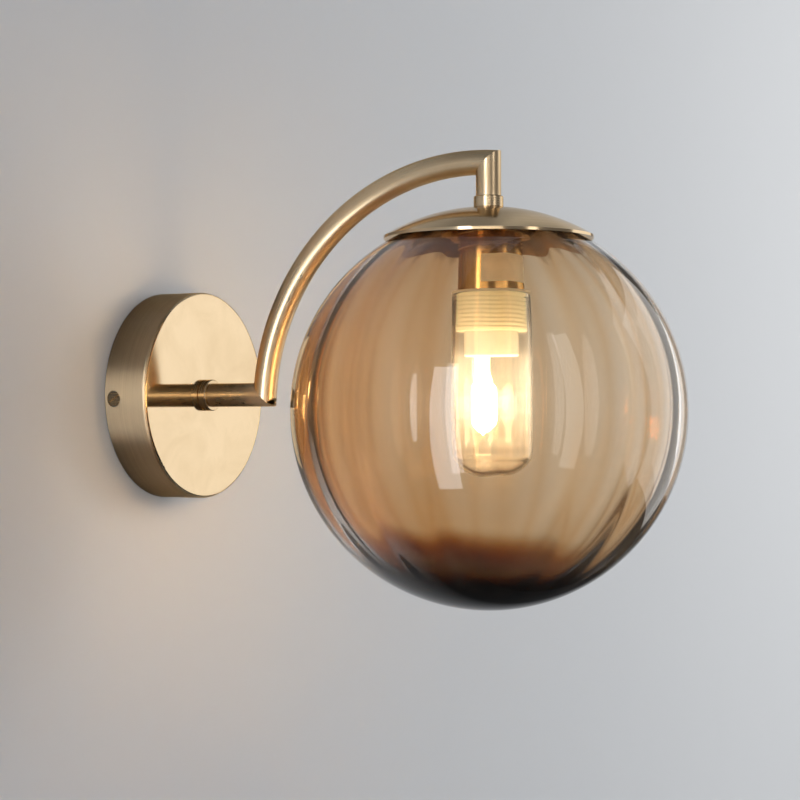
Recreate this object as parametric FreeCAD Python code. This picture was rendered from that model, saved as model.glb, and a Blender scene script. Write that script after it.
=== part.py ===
import FreeCAD, Part
import math
import os

os.makedirs("parts", exist_ok=True)

# Globe wall sconce. The wall is the plane y = 0 and the lamp reaches out along -Y, with +Z up.
# Places are given as (x, out, z): "out" is the distance from the wall, so y = -out.
# The globe, its cap and its lampholder hang on one upright axis, "reach" out from the wall.

# Wall plate
plate_diameter = 112.0
plate_depth = 26.0
plate_wall = 1.2
plate_edge_radius = 1.8
side_screw_setback = 5.6
side_screw_height = -2.5
side_hole_diameter = 8.5

# Mounting bracket behind the plate
bracket_thickness = 2.0
bracket_disc_diameter = 80.0
bracket_arm_width = 16.0
bracket_bend_radius = 2.5
tab_depth = 12.0
tab_gap = 1.2
supply_hole_diameter = 20.0
fixing_spacing = 60.0
fixing_slot_length = 12.0
fixing_slot_width = 4.6

# Tubes and arm
tube_diameter = 12.7
tube_wall = 1.0
reach = 198.5
arm_radius = 124.5
arm_centre_drop = 7.8
crown_overrun = 10.0
drop_length = 20.1
collar_socket_depth = 3.0
plate_collar_diameter = 17.0
plate_collar_height = 4.6
cap_collar_diameter = 15.0
cap_collar_height = 5.8
collar_chamfer = 0.4

# Hollow threaded rods, with their nuts and washers
rod_diameter = 10.0
rod_bore = 7.5
rod_tail = 2.2
bush_length = 10.0
nut_across_flats = 14.0
nut_height = 3.5
washer_thickness = 0.8
washer_diameter = 16.0

# Globe and cap
globe_diameter = 200.0
globe_wall = 3.0
globe_hole_diameter = 39.0
flute_count = 16
flute_depth = 0.8
flute_turn = -3.0
cap_rim_diameter = 106.0
cap_wall = 1.2
cap_gap = 1.8
gasket_inner_diameter = 42.0
gasket_outer_diameter = 60.0
spacer_diameter = 20.0

# Ring nut that holds the globe up against its cap
ring_nut_diameter = 47.0
ring_nut_height = 4.4
ring_travel = 6.0
ring_thread_pitch = 2.0
globe_washer_thickness = 1.4
globe_washer_diameter = 46.0

# Lampholder
housing_diameter = 33.5
housing_wall = 0.9
housing_top_wall = 1.2
housing_length = 39.4
thread_height = 0.75
label_width = 26.0
label_height = 14.0
label_thickness = 0.3
label_rise = 3.7
label_turn = 26.0

# Threaded sleeve and inner glass tube
sleeve_length = 19.7
sleeve_core_diameter = 34.4
sleeve_wall = 2.8
sleeve_neck_height = 8.0
sleeve_floor = 2.0
tube_thread_height = 0.6
tube_thread_pitch = 2.2
glass_tube_diameter = 41.0
glass_tube_wall = 2.4
glass_tube_length = 95.1
glass_dome_radius = 25.6
glass_corner_radius = 6.0
seal_thickness = 1.1

# Ceramic socket and capsule lamp
socket_diameter = 24.0
socket_flange_height = 3.0
socket_drop = 12.7
socket_rise = 24.8
clip_thickness = 1.0
clip_split = 3.0
pocket_depth = 5.0
pin_pitch = 9.0
pin_wire = 0.9
pin_loop_width = 2.0
pin_height = 8.0
contact_thickness = 0.4
contact_width = 2.4
contact_height = 15.5
crimp_length = 6.0
lamp_diameter = 14.0
lamp_glass_wall = 0.9
lamp_straight = 25.0
lamp_setback = 1.5
pinch_width = 13.4
pinch_thickness = 4.2
pinch_height = 13.5
filament_wire = 0.8
filament_spread = 6.0

# Wiring and its fixings
wire_diameter = 2.0
wire_pair_pitch = 2.6
wire_bend = 10.0
wire_small_bend = 8.0
wire_drop_bend = 20.0
block_width = 22.0
block_height = 14.0
block_depth = 12.0
block_centre_height = -28.5
way_pitch = 12.0
way_bore = 4.8
insert_wall = 0.9
clamp_screw_diameter = 2.4
clamp_head_diameter = 3.6
clamp_spacing = 7.0
small_head_height = 1.6
block_screw_diameter = 3.0
earth_screw_diameter = 4.0
earth_screw_height = 22.0
earth_loop_height = 40.0
lug_length = 6.0
lug_outer = 3.6
side_screw_diameter = 4.0
side_head_diameter = 7.6
side_head_sink = 0.4
side_screw_length = 8.0
screw_slot_width = 1.2
screw_slot_turn = 33.0

# Fits and clearances
thread_clearance = 0.05
running_clearance = 0.05
slip_clearance = 0.3
seat_gap = 0.1
screw_slot_depth = 1.0

# Worked out from the values above
plate_radius = plate_diameter / 2
tube_radius = tube_diameter / 2
tube_bore_radius = tube_radius - tube_wall
rod_radius = rod_diameter / 2
rod_hole_radius = rod_radius + thread_clearance
globe_radius = globe_diameter / 2
globe_inner_radius = globe_radius - globe_wall
flute_crest_radius = globe_inner_radius + flute_depth
cap_inner_radius = globe_radius + cap_gap
cap_outer_radius = cap_inner_radius + cap_wall
housing_radius = housing_diameter / 2
housing_inner_radius = housing_radius - housing_wall
wire_radius = wire_diameter / 2
foot_lean = math.asin(arm_centre_drop / arm_radius)
crown_angle = math.pi / 2 + math.asin(crown_overrun / arm_radius)
arm_centre_out = reach - crown_overrun
foot_out = arm_centre_out - arm_radius * math.cos(foot_lean)
crown_height = arm_radius * math.sin(crown_angle) - arm_centre_drop
drop_stub_bottom = crown_height - drop_length
cap_top = drop_stub_bottom + collar_socket_depth - cap_collar_height
globe_centre_height = cap_top - math.sqrt(cap_outer_radius ** 2 - (cap_collar_diameter / 2) ** 2)
stub_start_out = plate_depth + plate_collar_height - collar_socket_depth


def dome_height(sphere_radius, radius):
    """Height of a sphere about the globe's centre, at a distance from the hanging axis."""
    return globe_centre_height + math.sqrt(sphere_radius ** 2 - radius ** 2)


housing_top = dome_height(cap_inner_radius, housing_radius) - running_clearance
housing_bottom = housing_top - housing_length
sleeve_top = housing_bottom - seal_thickness - 2 * slip_clearance
sleeve_bottom = sleeve_top - sleeve_length
floor_top = sleeve_bottom + sleeve_floor
tube_top = sleeve_top + slip_clearance - seat_gap
tube_bottom = tube_top - glass_tube_length
sleeve_bore_radius = sleeve_core_diameter / 2 - sleeve_wall
socket_bottom = sleeve_bottom - socket_drop
socket_top = floor_top + socket_flange_height + socket_rise
socket_ceiling = socket_bottom + pocket_depth
chamber_top = socket_ceiling + contact_height
pinch_top = socket_ceiling - 2 * running_clearance - wire_radius
lamp_axis_top = socket_bottom - lamp_setback - lamp_diameter / 2
washer_seat_radius = flute_crest_radius - seat_gap
ring_top = dome_height(washer_seat_radius, globe_washer_diameter / 2) - globe_washer_thickness
ring_nut_top = ring_top - seat_gap
way_out = bracket_thickness + block_depth / 2
tab_face = plate_radius - plate_wall - tab_gap
tag_out = plate_depth - plate_wall - lug_outer / 2 - running_clearance
lug_out = bracket_thickness + lug_outer / 2
up = FreeCAD.Vector(0, 0, 1)
sideways = FreeCAD.Vector(1, 0, 0)
outward = FreeCAD.Vector(0, -1, 0)


def at(x, out, z):
    return FreeCAD.Vector(x, -out, z)


def outline(start, *steps):
    """Closed outline as a face. A step is a point, or a (middle, end) pair for a round stretch."""
    edges = []
    here = start
    for step in steps + (start,):
        if isinstance(step, tuple):
            edges.append(Part.Arc(here, step[0], step[1]).toShape())
            here = step[1]
        else:
            if (step - here).Length > 1e-7:
                edges.append(Part.makeLine(here, step))
            here = step
    return Part.Face(Part.Wire(edges))


def bar(start, end, radius):
    return Part.makeCylinder(radius, (end - start).Length, start, end - start)


def pipe(start, end, radius, bore_radius):
    return bar(start, end, radius).cut(bar(start, end, bore_radius))


def block(low, high):
    """Box between two opposite corners, in any order."""
    corner = FreeCAD.Vector(min(low.x, high.x), min(low.y, high.y), min(low.z, high.z))
    span = high - low
    return Part.makeBox(abs(span.x), abs(span.y), abs(span.z), corner)


def turned(face, angle=360.0):
    """Solid turned about the hanging axis."""
    return face.revolve(at(0, reach, 0), up, angle)


def hanging(radius, z):
    return at(radius, reach, z)


def beyond(corner, direction):
    """Everything past a corner, square to a direction."""
    size = 2 * reach
    half_space = Part.makeBox(size, size, size, FreeCAD.Vector(-size / 2, -size / 2, 0))
    half_space.Placement = FreeCAD.Placement(corner, FreeCAD.Rotation(up, direction))
    return half_space


def hex_nut(centre, axis):
    """Hexagon nut standing on its centre along the axis, with a plain bore for the rod."""
    corner_radius = nut_across_flats / math.sqrt(3)
    corners = [FreeCAD.Vector(corner_radius * math.cos(math.radians(60 * i)),
                              corner_radius * math.sin(math.radians(60 * i)), 0) for i in range(7)]
    nut = Part.Face(Part.makePolygon(corners)).extrude(up * nut_height)
    nut = nut.cut(bar(FreeCAD.Vector(0, 0, 0), up * nut_height, rod_hole_radius))
    nut.Placement = FreeCAD.Placement(centre, FreeCAD.Rotation(up, axis))
    return nut


def slotted_screw(seat, axis, head_radius, head_height, shank_radius, shank_length, turn=0.0):
    """Screw with its head's underside at the seat and its head pointing along the axis."""
    zero = FreeCAD.Vector(0, 0, 0)
    head = bar(zero, up * head_height, head_radius)
    slot = block(FreeCAD.Vector(-screw_slot_width / 2, -head_radius, head_height - screw_slot_depth),
                 FreeCAD.Vector(screw_slot_width / 2, head_radius, head_height))
    slot.rotate(zero, up, turn)
    screw = head.fuse(bar(up * -shank_length, zero, shank_radius)).cut(slot)
    screw.Placement = FreeCAD.Placement(seat, FreeCAD.Rotation(up, axis))
    return screw


def ridges(root, crest, top, bottom, pitch):
    """Zigzag of thread ridges down a turned outline, from the top to the bottom."""
    count = int((top - bottom) / pitch)
    flank = pitch / 4
    points = []
    for i in range(count):
        start = top - i * pitch
        points += [hanging(root, start), hanging(crest, start - flank)]
        points += [hanging(crest, start - 2 * flank), hanging(root, start - 3 * flank)]
    return points + [hanging(root, bottom)]


def rounded_path(points, radii):
    """Straight runs through the points, with a tangent arc of the given radius at each bend."""
    edges = []
    here = points[0]
    for before, corner, after, radius in zip(points, points[1:], points[2:], radii):
        arriving = (corner - before).normalize()
        leaving = (after - corner).normalize()
        turn = arriving.getAngle(leaving)
        tangent = radius * math.tan(turn / 2)
        first = corner - arriving * tangent
        last = corner + leaving * tangent
        inward = (leaving - arriving).normalize()
        middle = corner + inward * (radius / math.cos(turn / 2) - radius)
        edges += [Part.makeLine(here, first), Part.Arc(first, middle, last).toShape()]
        here = last
    return edges + [Part.makeLine(here, points[-1])]


def wire_along(edges, radius):
    """Round wire that follows a path of joined edges."""
    path = Part.Wire(edges)
    first = edges[0]
    start = first.valueAt(first.FirstParameter)
    section = Part.Wire(Part.makeCircle(radius, start, first.tangentAt(first.FirstParameter)))
    return path.makePipeShell([section], True, False)


# Wall plate and what is behind it

def side_screw_line(half_width):
    """Ends of the line through both side screws, at equal distances from the middle."""
    return (at(-half_width, side_screw_setback, side_screw_height),
            at(half_width, side_screw_setback, side_screw_height))


def mounting_bracket():
    half = bracket_arm_width / 2
    bend = bracket_bend_radius
    inner_bend = bend - bracket_thickness
    inside = tab_face - bracket_thickness
    slant = math.sqrt(0.5)

    def bend_middle(side, radius):
        return at(side * (tab_face - bend + radius * slant), bend - radius * slant, -half)

    strap = outline(
        at(-tab_face + bend, 0, -half),
        at(tab_face - bend, 0, -half),
        (bend_middle(1, bend), at(tab_face, bend, -half)),
        at(tab_face, tab_depth, -half),
        at(inside, tab_depth, -half),
        at(inside, bend, -half),
        (bend_middle(1, inner_bend), at(tab_face - bend, bracket_thickness, -half)),
        at(-tab_face + bend, bracket_thickness, -half),
        (bend_middle(-1, inner_bend), at(-inside, bend, -half)),
        at(-inside, tab_depth, -half),
        at(-tab_face, tab_depth, -half),
        at(-tab_face, bend, -half),
        (bend_middle(-1, bend), at(-tab_face + bend, 0, -half)),
    ).extrude(up * bracket_arm_width)
    back = at(0, 0, 0)
    front = at(0, bracket_thickness, 0)
    bracket = strap.fuse(bar(back, front, bracket_disc_diameter / 2)).removeSplitter()
    bracket = bracket.cut(bar(back, front, supply_hole_diameter / 2))
    screw_hole = side_screw_diameter / 2 + thread_clearance
    tapped = bar(*side_screw_line(tab_face), screw_hole)
    bracket = bracket.cut(tapped)
    slot_run = (fixing_slot_length - fixing_slot_width) / 2
    for side in (-1, 1):
        middle = side * fixing_spacing / 2
        for end in (-slot_run, slot_run):
            shift = sideways * (middle + end)
            bracket = bracket.cut(bar(back + shift, front + shift, fixing_slot_width / 2))
        half_slot = fixing_slot_width / 2
        bracket = bracket.cut(block(at(middle - slot_run, 0, -half_slot),
                                    at(middle + slot_run, bracket_thickness, half_slot)))
    for height, diameter in ((earth_screw_height, earth_screw_diameter),
                             (block_centre_height, block_screw_diameter)):
        hole = bar(back + up * height, front + up * height, diameter / 2 + thread_clearance)
        bracket = bracket.cut(hole)
    return bracket


def backplate_canopy():
    """Spun cup, open to the wall, with a rounded front edge."""
    slant = 1 - math.sqrt(0.5)
    inner_edge = plate_edge_radius - plate_wall
    inner = plate_radius - plate_wall
    bend = plate_depth - plate_edge_radius
    floor = plate_depth - plate_wall
    face = outline(
        at(plate_radius, 0, 0),
        at(plate_radius, bend, 0),
        (at(plate_radius - plate_edge_radius * slant, plate_depth - plate_edge_radius * slant, 0),
         at(plate_radius - plate_edge_radius, plate_depth, 0)),
        at(rod_hole_radius, plate_depth, 0),
        at(rod_hole_radius, floor, 0),
        at(inner - inner_edge, floor, 0),
        (at(inner - inner_edge * slant, floor - inner_edge * slant, 0), at(inner, bend, 0)),
        at(inner, 0, 0),
    )
    cup = face.revolve(at(0, 0, 0), outward, 360)
    return cup.cut(bar(*side_screw_line(plate_radius), side_hole_diameter / 2))


def canopy_side_screws():
    head_height = plate_radius - side_head_sink - tab_face
    screws = []
    for side in (-1, 1):
        seat = side_screw_line(tab_face)[side > 0]
        screws.append(slotted_screw(seat, sideways * side, side_head_diameter / 2, head_height,
                                    side_screw_diameter / 2, side_screw_length, screw_slot_turn))
    return Part.makeCompound(screws)


def way_line(side, reach_beyond=0.0):
    """Ends of one terminal way, from below the block to above it."""
    half = block_height / 2 + reach_beyond
    return (at(side * way_pitch / 2, way_out, block_centre_height - half),
            at(side * way_pitch / 2, way_out, block_centre_height + half))


def clamp_places():
    return [(side * way_pitch / 2, block_centre_height + end * clamp_spacing / 2)
            for side in (-1, 1) for end in (-1, 1)]


def terminal_block():
    top = bracket_thickness + block_depth
    half = block_height / 2
    body = block(at(-block_width / 2, bracket_thickness, block_centre_height - half),
                 at(block_width / 2, top, block_centre_height + half))
    for side in (-1, 1):
        body = body.cut(bar(*way_line(side), way_bore / 2))
    for x, z in clamp_places():
        body = body.cut(bar(at(x, way_out, z), at(x, top, z), clamp_head_diameter / 2 + seat_gap))
    shank = block_screw_diameter / 2 + seat_gap
    head = clamp_head_diameter / 2 + 2 * seat_gap + insert_wall
    body = body.cut(bar(at(0, bracket_thickness, block_centre_height), at(0, top, block_centre_height),
                        shank))
    return body.cut(bar(at(0, top - 2 * small_head_height, block_centre_height),
                        at(0, top, block_centre_height), head))


def terminal_inserts():
    outer = way_bore / 2 - thread_clearance
    inserts = []
    for side in (-1, 1):
        low, high = way_line(side, -2 * seat_gap)
        barrel = pipe(low, high, outer, outer - insert_wall)
        for x, z in clamp_places():
            if x * side > 0:
                barrel = barrel.cut(bar(at(x, way_out, z), at(x, way_out + way_bore, z),
                                        clamp_screw_diameter / 2 + thread_clearance))
        inserts.append(barrel)
    return Part.makeCompound(inserts)


def terminal_screws():
    seat_out = way_out + way_bore / 2 + seat_gap
    shank = seat_out - way_out - wire_radius - seat_gap
    return Part.makeCompound([slotted_screw(at(x, seat_out, z), outward, clamp_head_diameter / 2,
                                            small_head_height, clamp_screw_diameter / 2, shank)
                              for x, z in clamp_places()])


def block_screw():
    seat_out = bracket_thickness + block_depth - 2 * small_head_height
    return slotted_screw(at(0, seat_out, block_centre_height), outward,
                         clamp_head_diameter / 2 + insert_wall, small_head_height,
                         block_screw_diameter / 2, seat_out - seat_gap)


def earth_screw():
    seat_out = bracket_thickness + washer_thickness
    return slotted_screw(at(0, seat_out, earth_screw_height), outward, earth_screw_diameter,
                         1.5 * small_head_height, earth_screw_diameter / 2, seat_out - seat_gap)


def lug(eye_height, eye_radius, hole_radius, plate_out, barrel_out, barrel_start):
    """Flat eye with a barrel above it that grips the earth wire."""
    back = min(plate_out, plate_out + washer_thickness)
    eye = bar(at(0, back, eye_height), at(0, back + washer_thickness, eye_height), eye_radius)
    tongue = block(at(-lug_outer / 2, back, eye_height),
                   at(lug_outer / 2, back + washer_thickness, barrel_start + lug_length / 2))
    barrel = bar(at(0, barrel_out, barrel_start), at(0, barrel_out, barrel_start + lug_length),
                 lug_outer / 2)
    bore = bar(at(0, barrel_out, barrel_start), at(0, barrel_out, barrel_start + lug_length),
               wire_radius + thread_clearance)
    hole = bar(at(0, back, eye_height), at(0, back + washer_thickness, eye_height), hole_radius)
    return eye.fuse(tongue).fuse(barrel).cut(bore).cut(hole)


def earth_ring_terminal():
    return lug(earth_screw_height, earth_screw_diameter, earth_screw_diameter / 2 + seat_gap,
               bracket_thickness, lug_out, earth_screw_height + earth_screw_diameter + seat_gap)


def earth_tag_washer():
    return lug(0.0, washer_diameter / 2, rod_hole_radius, plate_depth - plate_wall - washer_thickness,
               tag_out, washer_diameter / 2 + lug_outer / 2)


def earth_wire():
    tag_start = washer_diameter / 2 + lug_outer / 2 + wire_radius
    ring_end = earth_screw_height + earth_screw_diameter + wire_radius
    points = [at(0, tag_out, tag_start), at(0, tag_out, earth_loop_height),
              at(0, lug_out, earth_loop_height), at(0, lug_out, ring_end)]
    return wire_along(rounded_path(points, [wire_small_bend, wire_small_bend]), wire_radius)


# Arm

def root_nut_out():
    return plate_depth - plate_wall - washer_thickness - nut_height


def root_nipple():
    return pipe(at(0, root_nut_out() - rod_tail, 0),
                at(0, stub_start_out + bush_length - thread_clearance, 0), rod_radius, rod_bore / 2)


def root_lock_nut():
    return hex_nut(at(0, root_nut_out(), 0), outward)


def collar(start, axis, radius, height):
    """Ring with a bore for the rod, and a socket on its far side for the tube's end."""
    end = start + axis * height
    ring = bar(start, end, radius)
    ring = ring.makeChamfer(collar_chamfer, [edge for edge in ring.Edges if edge.Closed])
    socket_floor = end - axis * collar_socket_depth
    return ring.cut(bar(start, end, rod_hole_radius)).cut(
        bar(socket_floor, end, tube_radius + thread_clearance))


def plate_collar():
    return collar(at(0, plate_depth, 0), outward, plate_collar_diameter / 2, plate_collar_height)


def tube_bush(start, axis):
    return pipe(start, start + axis * bush_length, tube_bore_radius - thread_clearance,
                rod_hole_radius)


def root_bush():
    return tube_bush(at(0, stub_start_out, 0), outward)


def foot_corner():
    """Where the level stub turns up into the arm, and the mitre plane's direction there."""
    arm_start = FreeCAD.Vector(0, -math.sin(foot_lean), math.cos(foot_lean))
    return at(0, foot_out, 0), (outward + arm_start).normalize()


def crown_corner():
    """Where the arm turns down into the drop stub, and the mitre plane's direction there."""
    arm_end = FreeCAD.Vector(0, -math.sin(crown_angle), math.cos(crown_angle))
    return at(0, reach, crown_height), (arm_end - up).normalize()


def arm_root_stub():
    corner, mitre = foot_corner()
    stub = pipe(at(0, stub_start_out, 0), at(0, foot_out + tube_diameter, 0), tube_radius,
                tube_bore_radius)
    return stub.cut(beyond(corner, mitre))


def arm_point(angle, x=0.0):
    return at(x, arm_centre_out - arm_radius * math.cos(angle),
              arm_radius * math.sin(angle) - arm_centre_drop)


def curved_arm():
    """Bent tube on one round arc, mitred at its foot and at its crown."""
    over = 2 * tube_radius / arm_radius
    start = foot_lean - over
    sweep = math.degrees(crown_angle + over - start)
    tangent = FreeCAD.Vector(0, -math.sin(start), math.cos(start))
    centre = at(0, arm_centre_out, -arm_centre_drop)
    bent = []
    for radius in (tube_radius, tube_bore_radius):
        section = Part.Face(Part.Wire(Part.makeCircle(radius, arm_point(start), tangent)))
        bent.append(section.revolve(centre, sideways, sweep))
    tube = bent[0].cut(bent[1])
    foot, foot_mitre = foot_corner()
    crown, crown_mitre = crown_corner()
    return tube.cut(beyond(foot, foot_mitre * -1)).cut(beyond(crown, crown_mitre))


def drop_stub():
    corner, mitre = crown_corner()
    stub = pipe(hanging(0, drop_stub_bottom), hanging(0, crown_height + tube_diameter), tube_radius,
                tube_bore_radius)
    return stub.cut(beyond(corner, mitre * -1))


def drop_bush():
    return tube_bush(hanging(0, drop_stub_bottom), up)


def cap_collar():
    return collar(hanging(0, cap_top), up, cap_collar_diameter / 2, cap_collar_height)


# Cap and lampholder

def sphere_shell(outer_radius, inner_radius, radius_from, radius_to):
    """Part of a spherical shell about the globe's centre, between two distances from the axis."""
    between = (radius_from + radius_to) / 2
    return turned(outline(
        hanging(radius_from, dome_height(inner_radius, radius_from)),
        hanging(radius_from, dome_height(outer_radius, radius_from)),
        (hanging(between, dome_height(outer_radius, between)),
         hanging(radius_to, dome_height(outer_radius, radius_to))),
        hanging(radius_to, dome_height(inner_radius, radius_to)),
        (hanging(between, dome_height(inner_radius, between)),
         hanging(radius_from, dome_height(inner_radius, radius_from))),
    ))


def globe_cap():
    shell = sphere_shell(cap_outer_radius, cap_inner_radius, rod_hole_radius, cap_rim_diameter / 2)
    return shell.cut(beyond(hanging(0, cap_top), up))


def globe_gasket():
    return sphere_shell(cap_inner_radius - running_clearance, globe_radius + slip_clearance,
                        gasket_inner_diameter / 2, gasket_outer_diameter / 2)


def cap_spacer():
    top = dome_height(cap_inner_radius, spacer_diameter / 2) - running_clearance / 2
    return pipe(hanging(0, housing_top), hanging(0, top), spacer_diameter / 2, rod_hole_radius)


def drop_nut_bottom():
    return housing_top - housing_top_wall - washer_thickness - nut_height


def drop_nipple():
    return pipe(hanging(0, drop_nut_bottom() - rod_tail),
                hanging(0, drop_stub_bottom + bush_length - thread_clearance), rod_radius, rod_bore / 2)


def drop_lock_washer():
    top = housing_top - housing_top_wall
    return pipe(hanging(0, top - washer_thickness), hanging(0, top), washer_diameter / 2,
                rod_hole_radius)


def drop_lock_nut():
    return hex_nut(hanging(0, drop_nut_bottom()), up)


def lampholder_housing():
    """Drawn cup, with ridges near its top for the ring nut."""
    thread_bottom = ring_nut_top - ring_nut_height - ring_travel - thread_height
    shell = outline(
        hanging(rod_hole_radius, housing_top),
        hanging(housing_radius, housing_top),
        *ridges(housing_radius, housing_radius + thread_height, housing_top - ring_thread_pitch,
                thread_bottom, ring_thread_pitch),
        hanging(housing_radius, housing_bottom),
        hanging(housing_inner_radius, housing_bottom),
        hanging(housing_inner_radius, housing_top - housing_top_wall),
        hanging(rod_hole_radius, housing_top - housing_top_wall),
    )
    return turned(shell)


def rating_label():
    """Bare plate wrapped part of the way round the housing, left of the front."""
    inner = housing_radius + thread_clearance
    low = housing_bottom + label_rise
    wrap = math.degrees(label_width / housing_radius)
    strip = outline(hanging(inner, low), hanging(inner + label_thickness, low),
                    hanging(inner + label_thickness, low + label_height),
                    hanging(inner, low + label_height))
    strip.rotate(at(0, reach, 0), up, -90 - label_turn - wrap / 2)
    return turned(strip, wrap)


def thread_sleeve():
    """Ridged sleeve for the glass tube, with a neck inside the housing and a floor for the socket."""
    core = sleeve_core_diameter / 2
    neck = housing_inner_radius - thread_clearance
    hole = socket_diameter / 2 + seat_gap
    return turned(outline(
        hanging(sleeve_bore_radius, sleeve_top + sleeve_neck_height),
        hanging(neck, sleeve_top + sleeve_neck_height),
        hanging(neck, sleeve_top),
        *ridges(core, core + tube_thread_height, sleeve_top, sleeve_bottom, tube_thread_pitch),
        hanging(hole, sleeve_bottom),
        hanging(hole, floor_top),
        hanging(sleeve_bore_radius, floor_top),
    ))


def lamp_socket():
    """Ceramic body with a flange, a pocket for the lamp's base and two pin chambers."""
    radius = socket_diameter / 2
    flange = sleeve_bore_radius - 2 * seat_gap
    body = bar(hanging(0, socket_bottom), hanging(0, socket_top), radius)
    body = body.makeChamfer(2 * collar_chamfer, [edge for edge in body.Edges if edge.Closed])
    body = body.fuse(bar(hanging(0, floor_top), hanging(0, floor_top + socket_flange_height), flange))
    pocket = slip_clearance + wire_radius
    body = body.cut(block(at(-pinch_width / 2 - pocket, reach - pinch_thickness / 2 - pocket,
                             socket_bottom),
                          at(pinch_width / 2 + pocket, reach + pinch_thickness / 2 + pocket,
                             socket_ceiling)))
    side = pin_loop_width / 2 + pin_wire
    for x in (-pin_pitch / 2, pin_pitch / 2):
        body = body.cut(block(at(x - side, reach - 2 * pin_wire, socket_ceiling),
                              at(x + side, reach + pin_wire, chamber_top)))
        body = body.cut(bar(at(x, reach, chamber_top), at(x, reach, socket_top), 2 * pin_wire))
    return body


def socket_clip_ring():
    """Split spring ring that holds the socket's flange down on the sleeve's floor."""
    low = floor_top + socket_flange_height + thread_clearance
    ring = pipe(hanging(0, low), hanging(0, low + clip_thickness),
                sleeve_bore_radius - thread_clearance, socket_diameter / 2 + 2 * slip_clearance)
    return ring.cut(block(at(-clip_split / 2, reach, low),
                          at(clip_split / 2, reach + sleeve_bore_radius, low + clip_thickness)))


def socket_contacts():
    """Two spring strips beside the pins, each with a crimp barrel for its wire above."""
    contacts = []
    barrel = wire_radius + pin_wire / 2
    near = pin_wire / 2 + seat_gap
    for x in (-pin_pitch / 2, pin_pitch / 2):
        strip = block(at(x - contact_width / 2, reach - near - contact_thickness,
                         chamber_top - contact_height + wire_radius),
                      at(x + contact_width / 2, reach - near, chamber_top + wire_radius))
        crimp = bar(at(x, reach, chamber_top), at(x, reach, chamber_top + crimp_length), barrel)
        bore = bar(at(x, reach, chamber_top), at(x, reach, chamber_top + crimp_length),
                   wire_radius + thread_clearance)
        contacts.append(strip.fuse(crimp).cut(bore))
    return Part.makeCompound(contacts)


def lamp_wire(side):
    """Wire from a terminal way, through the rods and the whole arm, down to a socket contact."""
    x = side * wire_pair_pitch / 2
    x_way = side * way_pitch / 2
    x_contact = side * pin_pitch / 2
    foot_bend_out = arm_centre_out - math.sqrt((arm_radius + wire_bend) ** 2
                                               - (wire_bend + arm_centre_drop) ** 2)
    foot_bend_angle = math.asin((wire_bend + arm_centre_drop) / (arm_radius + wire_bend))
    crown_bend_angle = math.pi - math.acos((crown_overrun - wire_bend) / (arm_radius - wire_bend))
    crown_bend_height = ((arm_radius - wire_bend) * math.sin(crown_bend_angle)
                         - arm_centre_drop)
    foot_turn = (math.pi / 2 - foot_bend_angle) / 2
    crown_turn = crown_bend_angle / 2
    turn_out = root_nut_out() - rod_tail - 3 * wire_radius
    first = rounded_path([
        at(x_way, way_out, block_centre_height + wire_radius),
        at(x_way, way_out, block_centre_height + block_height + 2.5 * wire_diameter),
        at(x, turn_out, 0),
        at(x, foot_bend_out, 0),
    ], [wire_small_bend, wire_small_bend])
    foot_bend = Part.Arc(
        at(x, foot_bend_out, 0),
        at(x, foot_bend_out + wire_bend * math.sin(foot_turn),
           wire_bend - wire_bend * math.cos(foot_turn)),
        arm_point(foot_bend_angle, x)).toShape()
    arm_run = Part.Arc(arm_point(foot_bend_angle, x),
                       arm_point((foot_bend_angle + crown_bend_angle) / 2, x),
                       arm_point(crown_bend_angle, x)).toShape()
    crown_bend = Part.Arc(
        arm_point(crown_bend_angle, x),
        at(x, reach - wire_bend - wire_bend * math.cos(math.pi - crown_turn),
           crown_bend_height + wire_bend * math.sin(math.pi - crown_turn)),
        at(x, reach, crown_bend_height)).toShape()
    last = rounded_path([
        at(x, reach, crown_bend_height),
        at(x, reach, drop_nut_bottom() - rod_tail - wire_drop_bend / 4),
        at(x_contact, reach, socket_top + 3 * wire_diameter),
        at(x_contact, reach, chamber_top + wire_radius),
    ], [wire_drop_bend, wire_drop_bend])
    edges = first + [foot_bend, arm_run, crown_bend] + last
    wire = wire_along(edges, wire_radius)
    length = sum(edge.Length for edge in edges)
    print("lamp wire length", round(length, 1), "volume ratio",
          round(wire.Volume / (length * math.pi * wire_radius ** 2), 4))
    return wire


def live_wire():
    return lamp_wire(-1)


def neutral_wire():
    return lamp_wire(1)


# Globe, its washer and the ring nut

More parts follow.
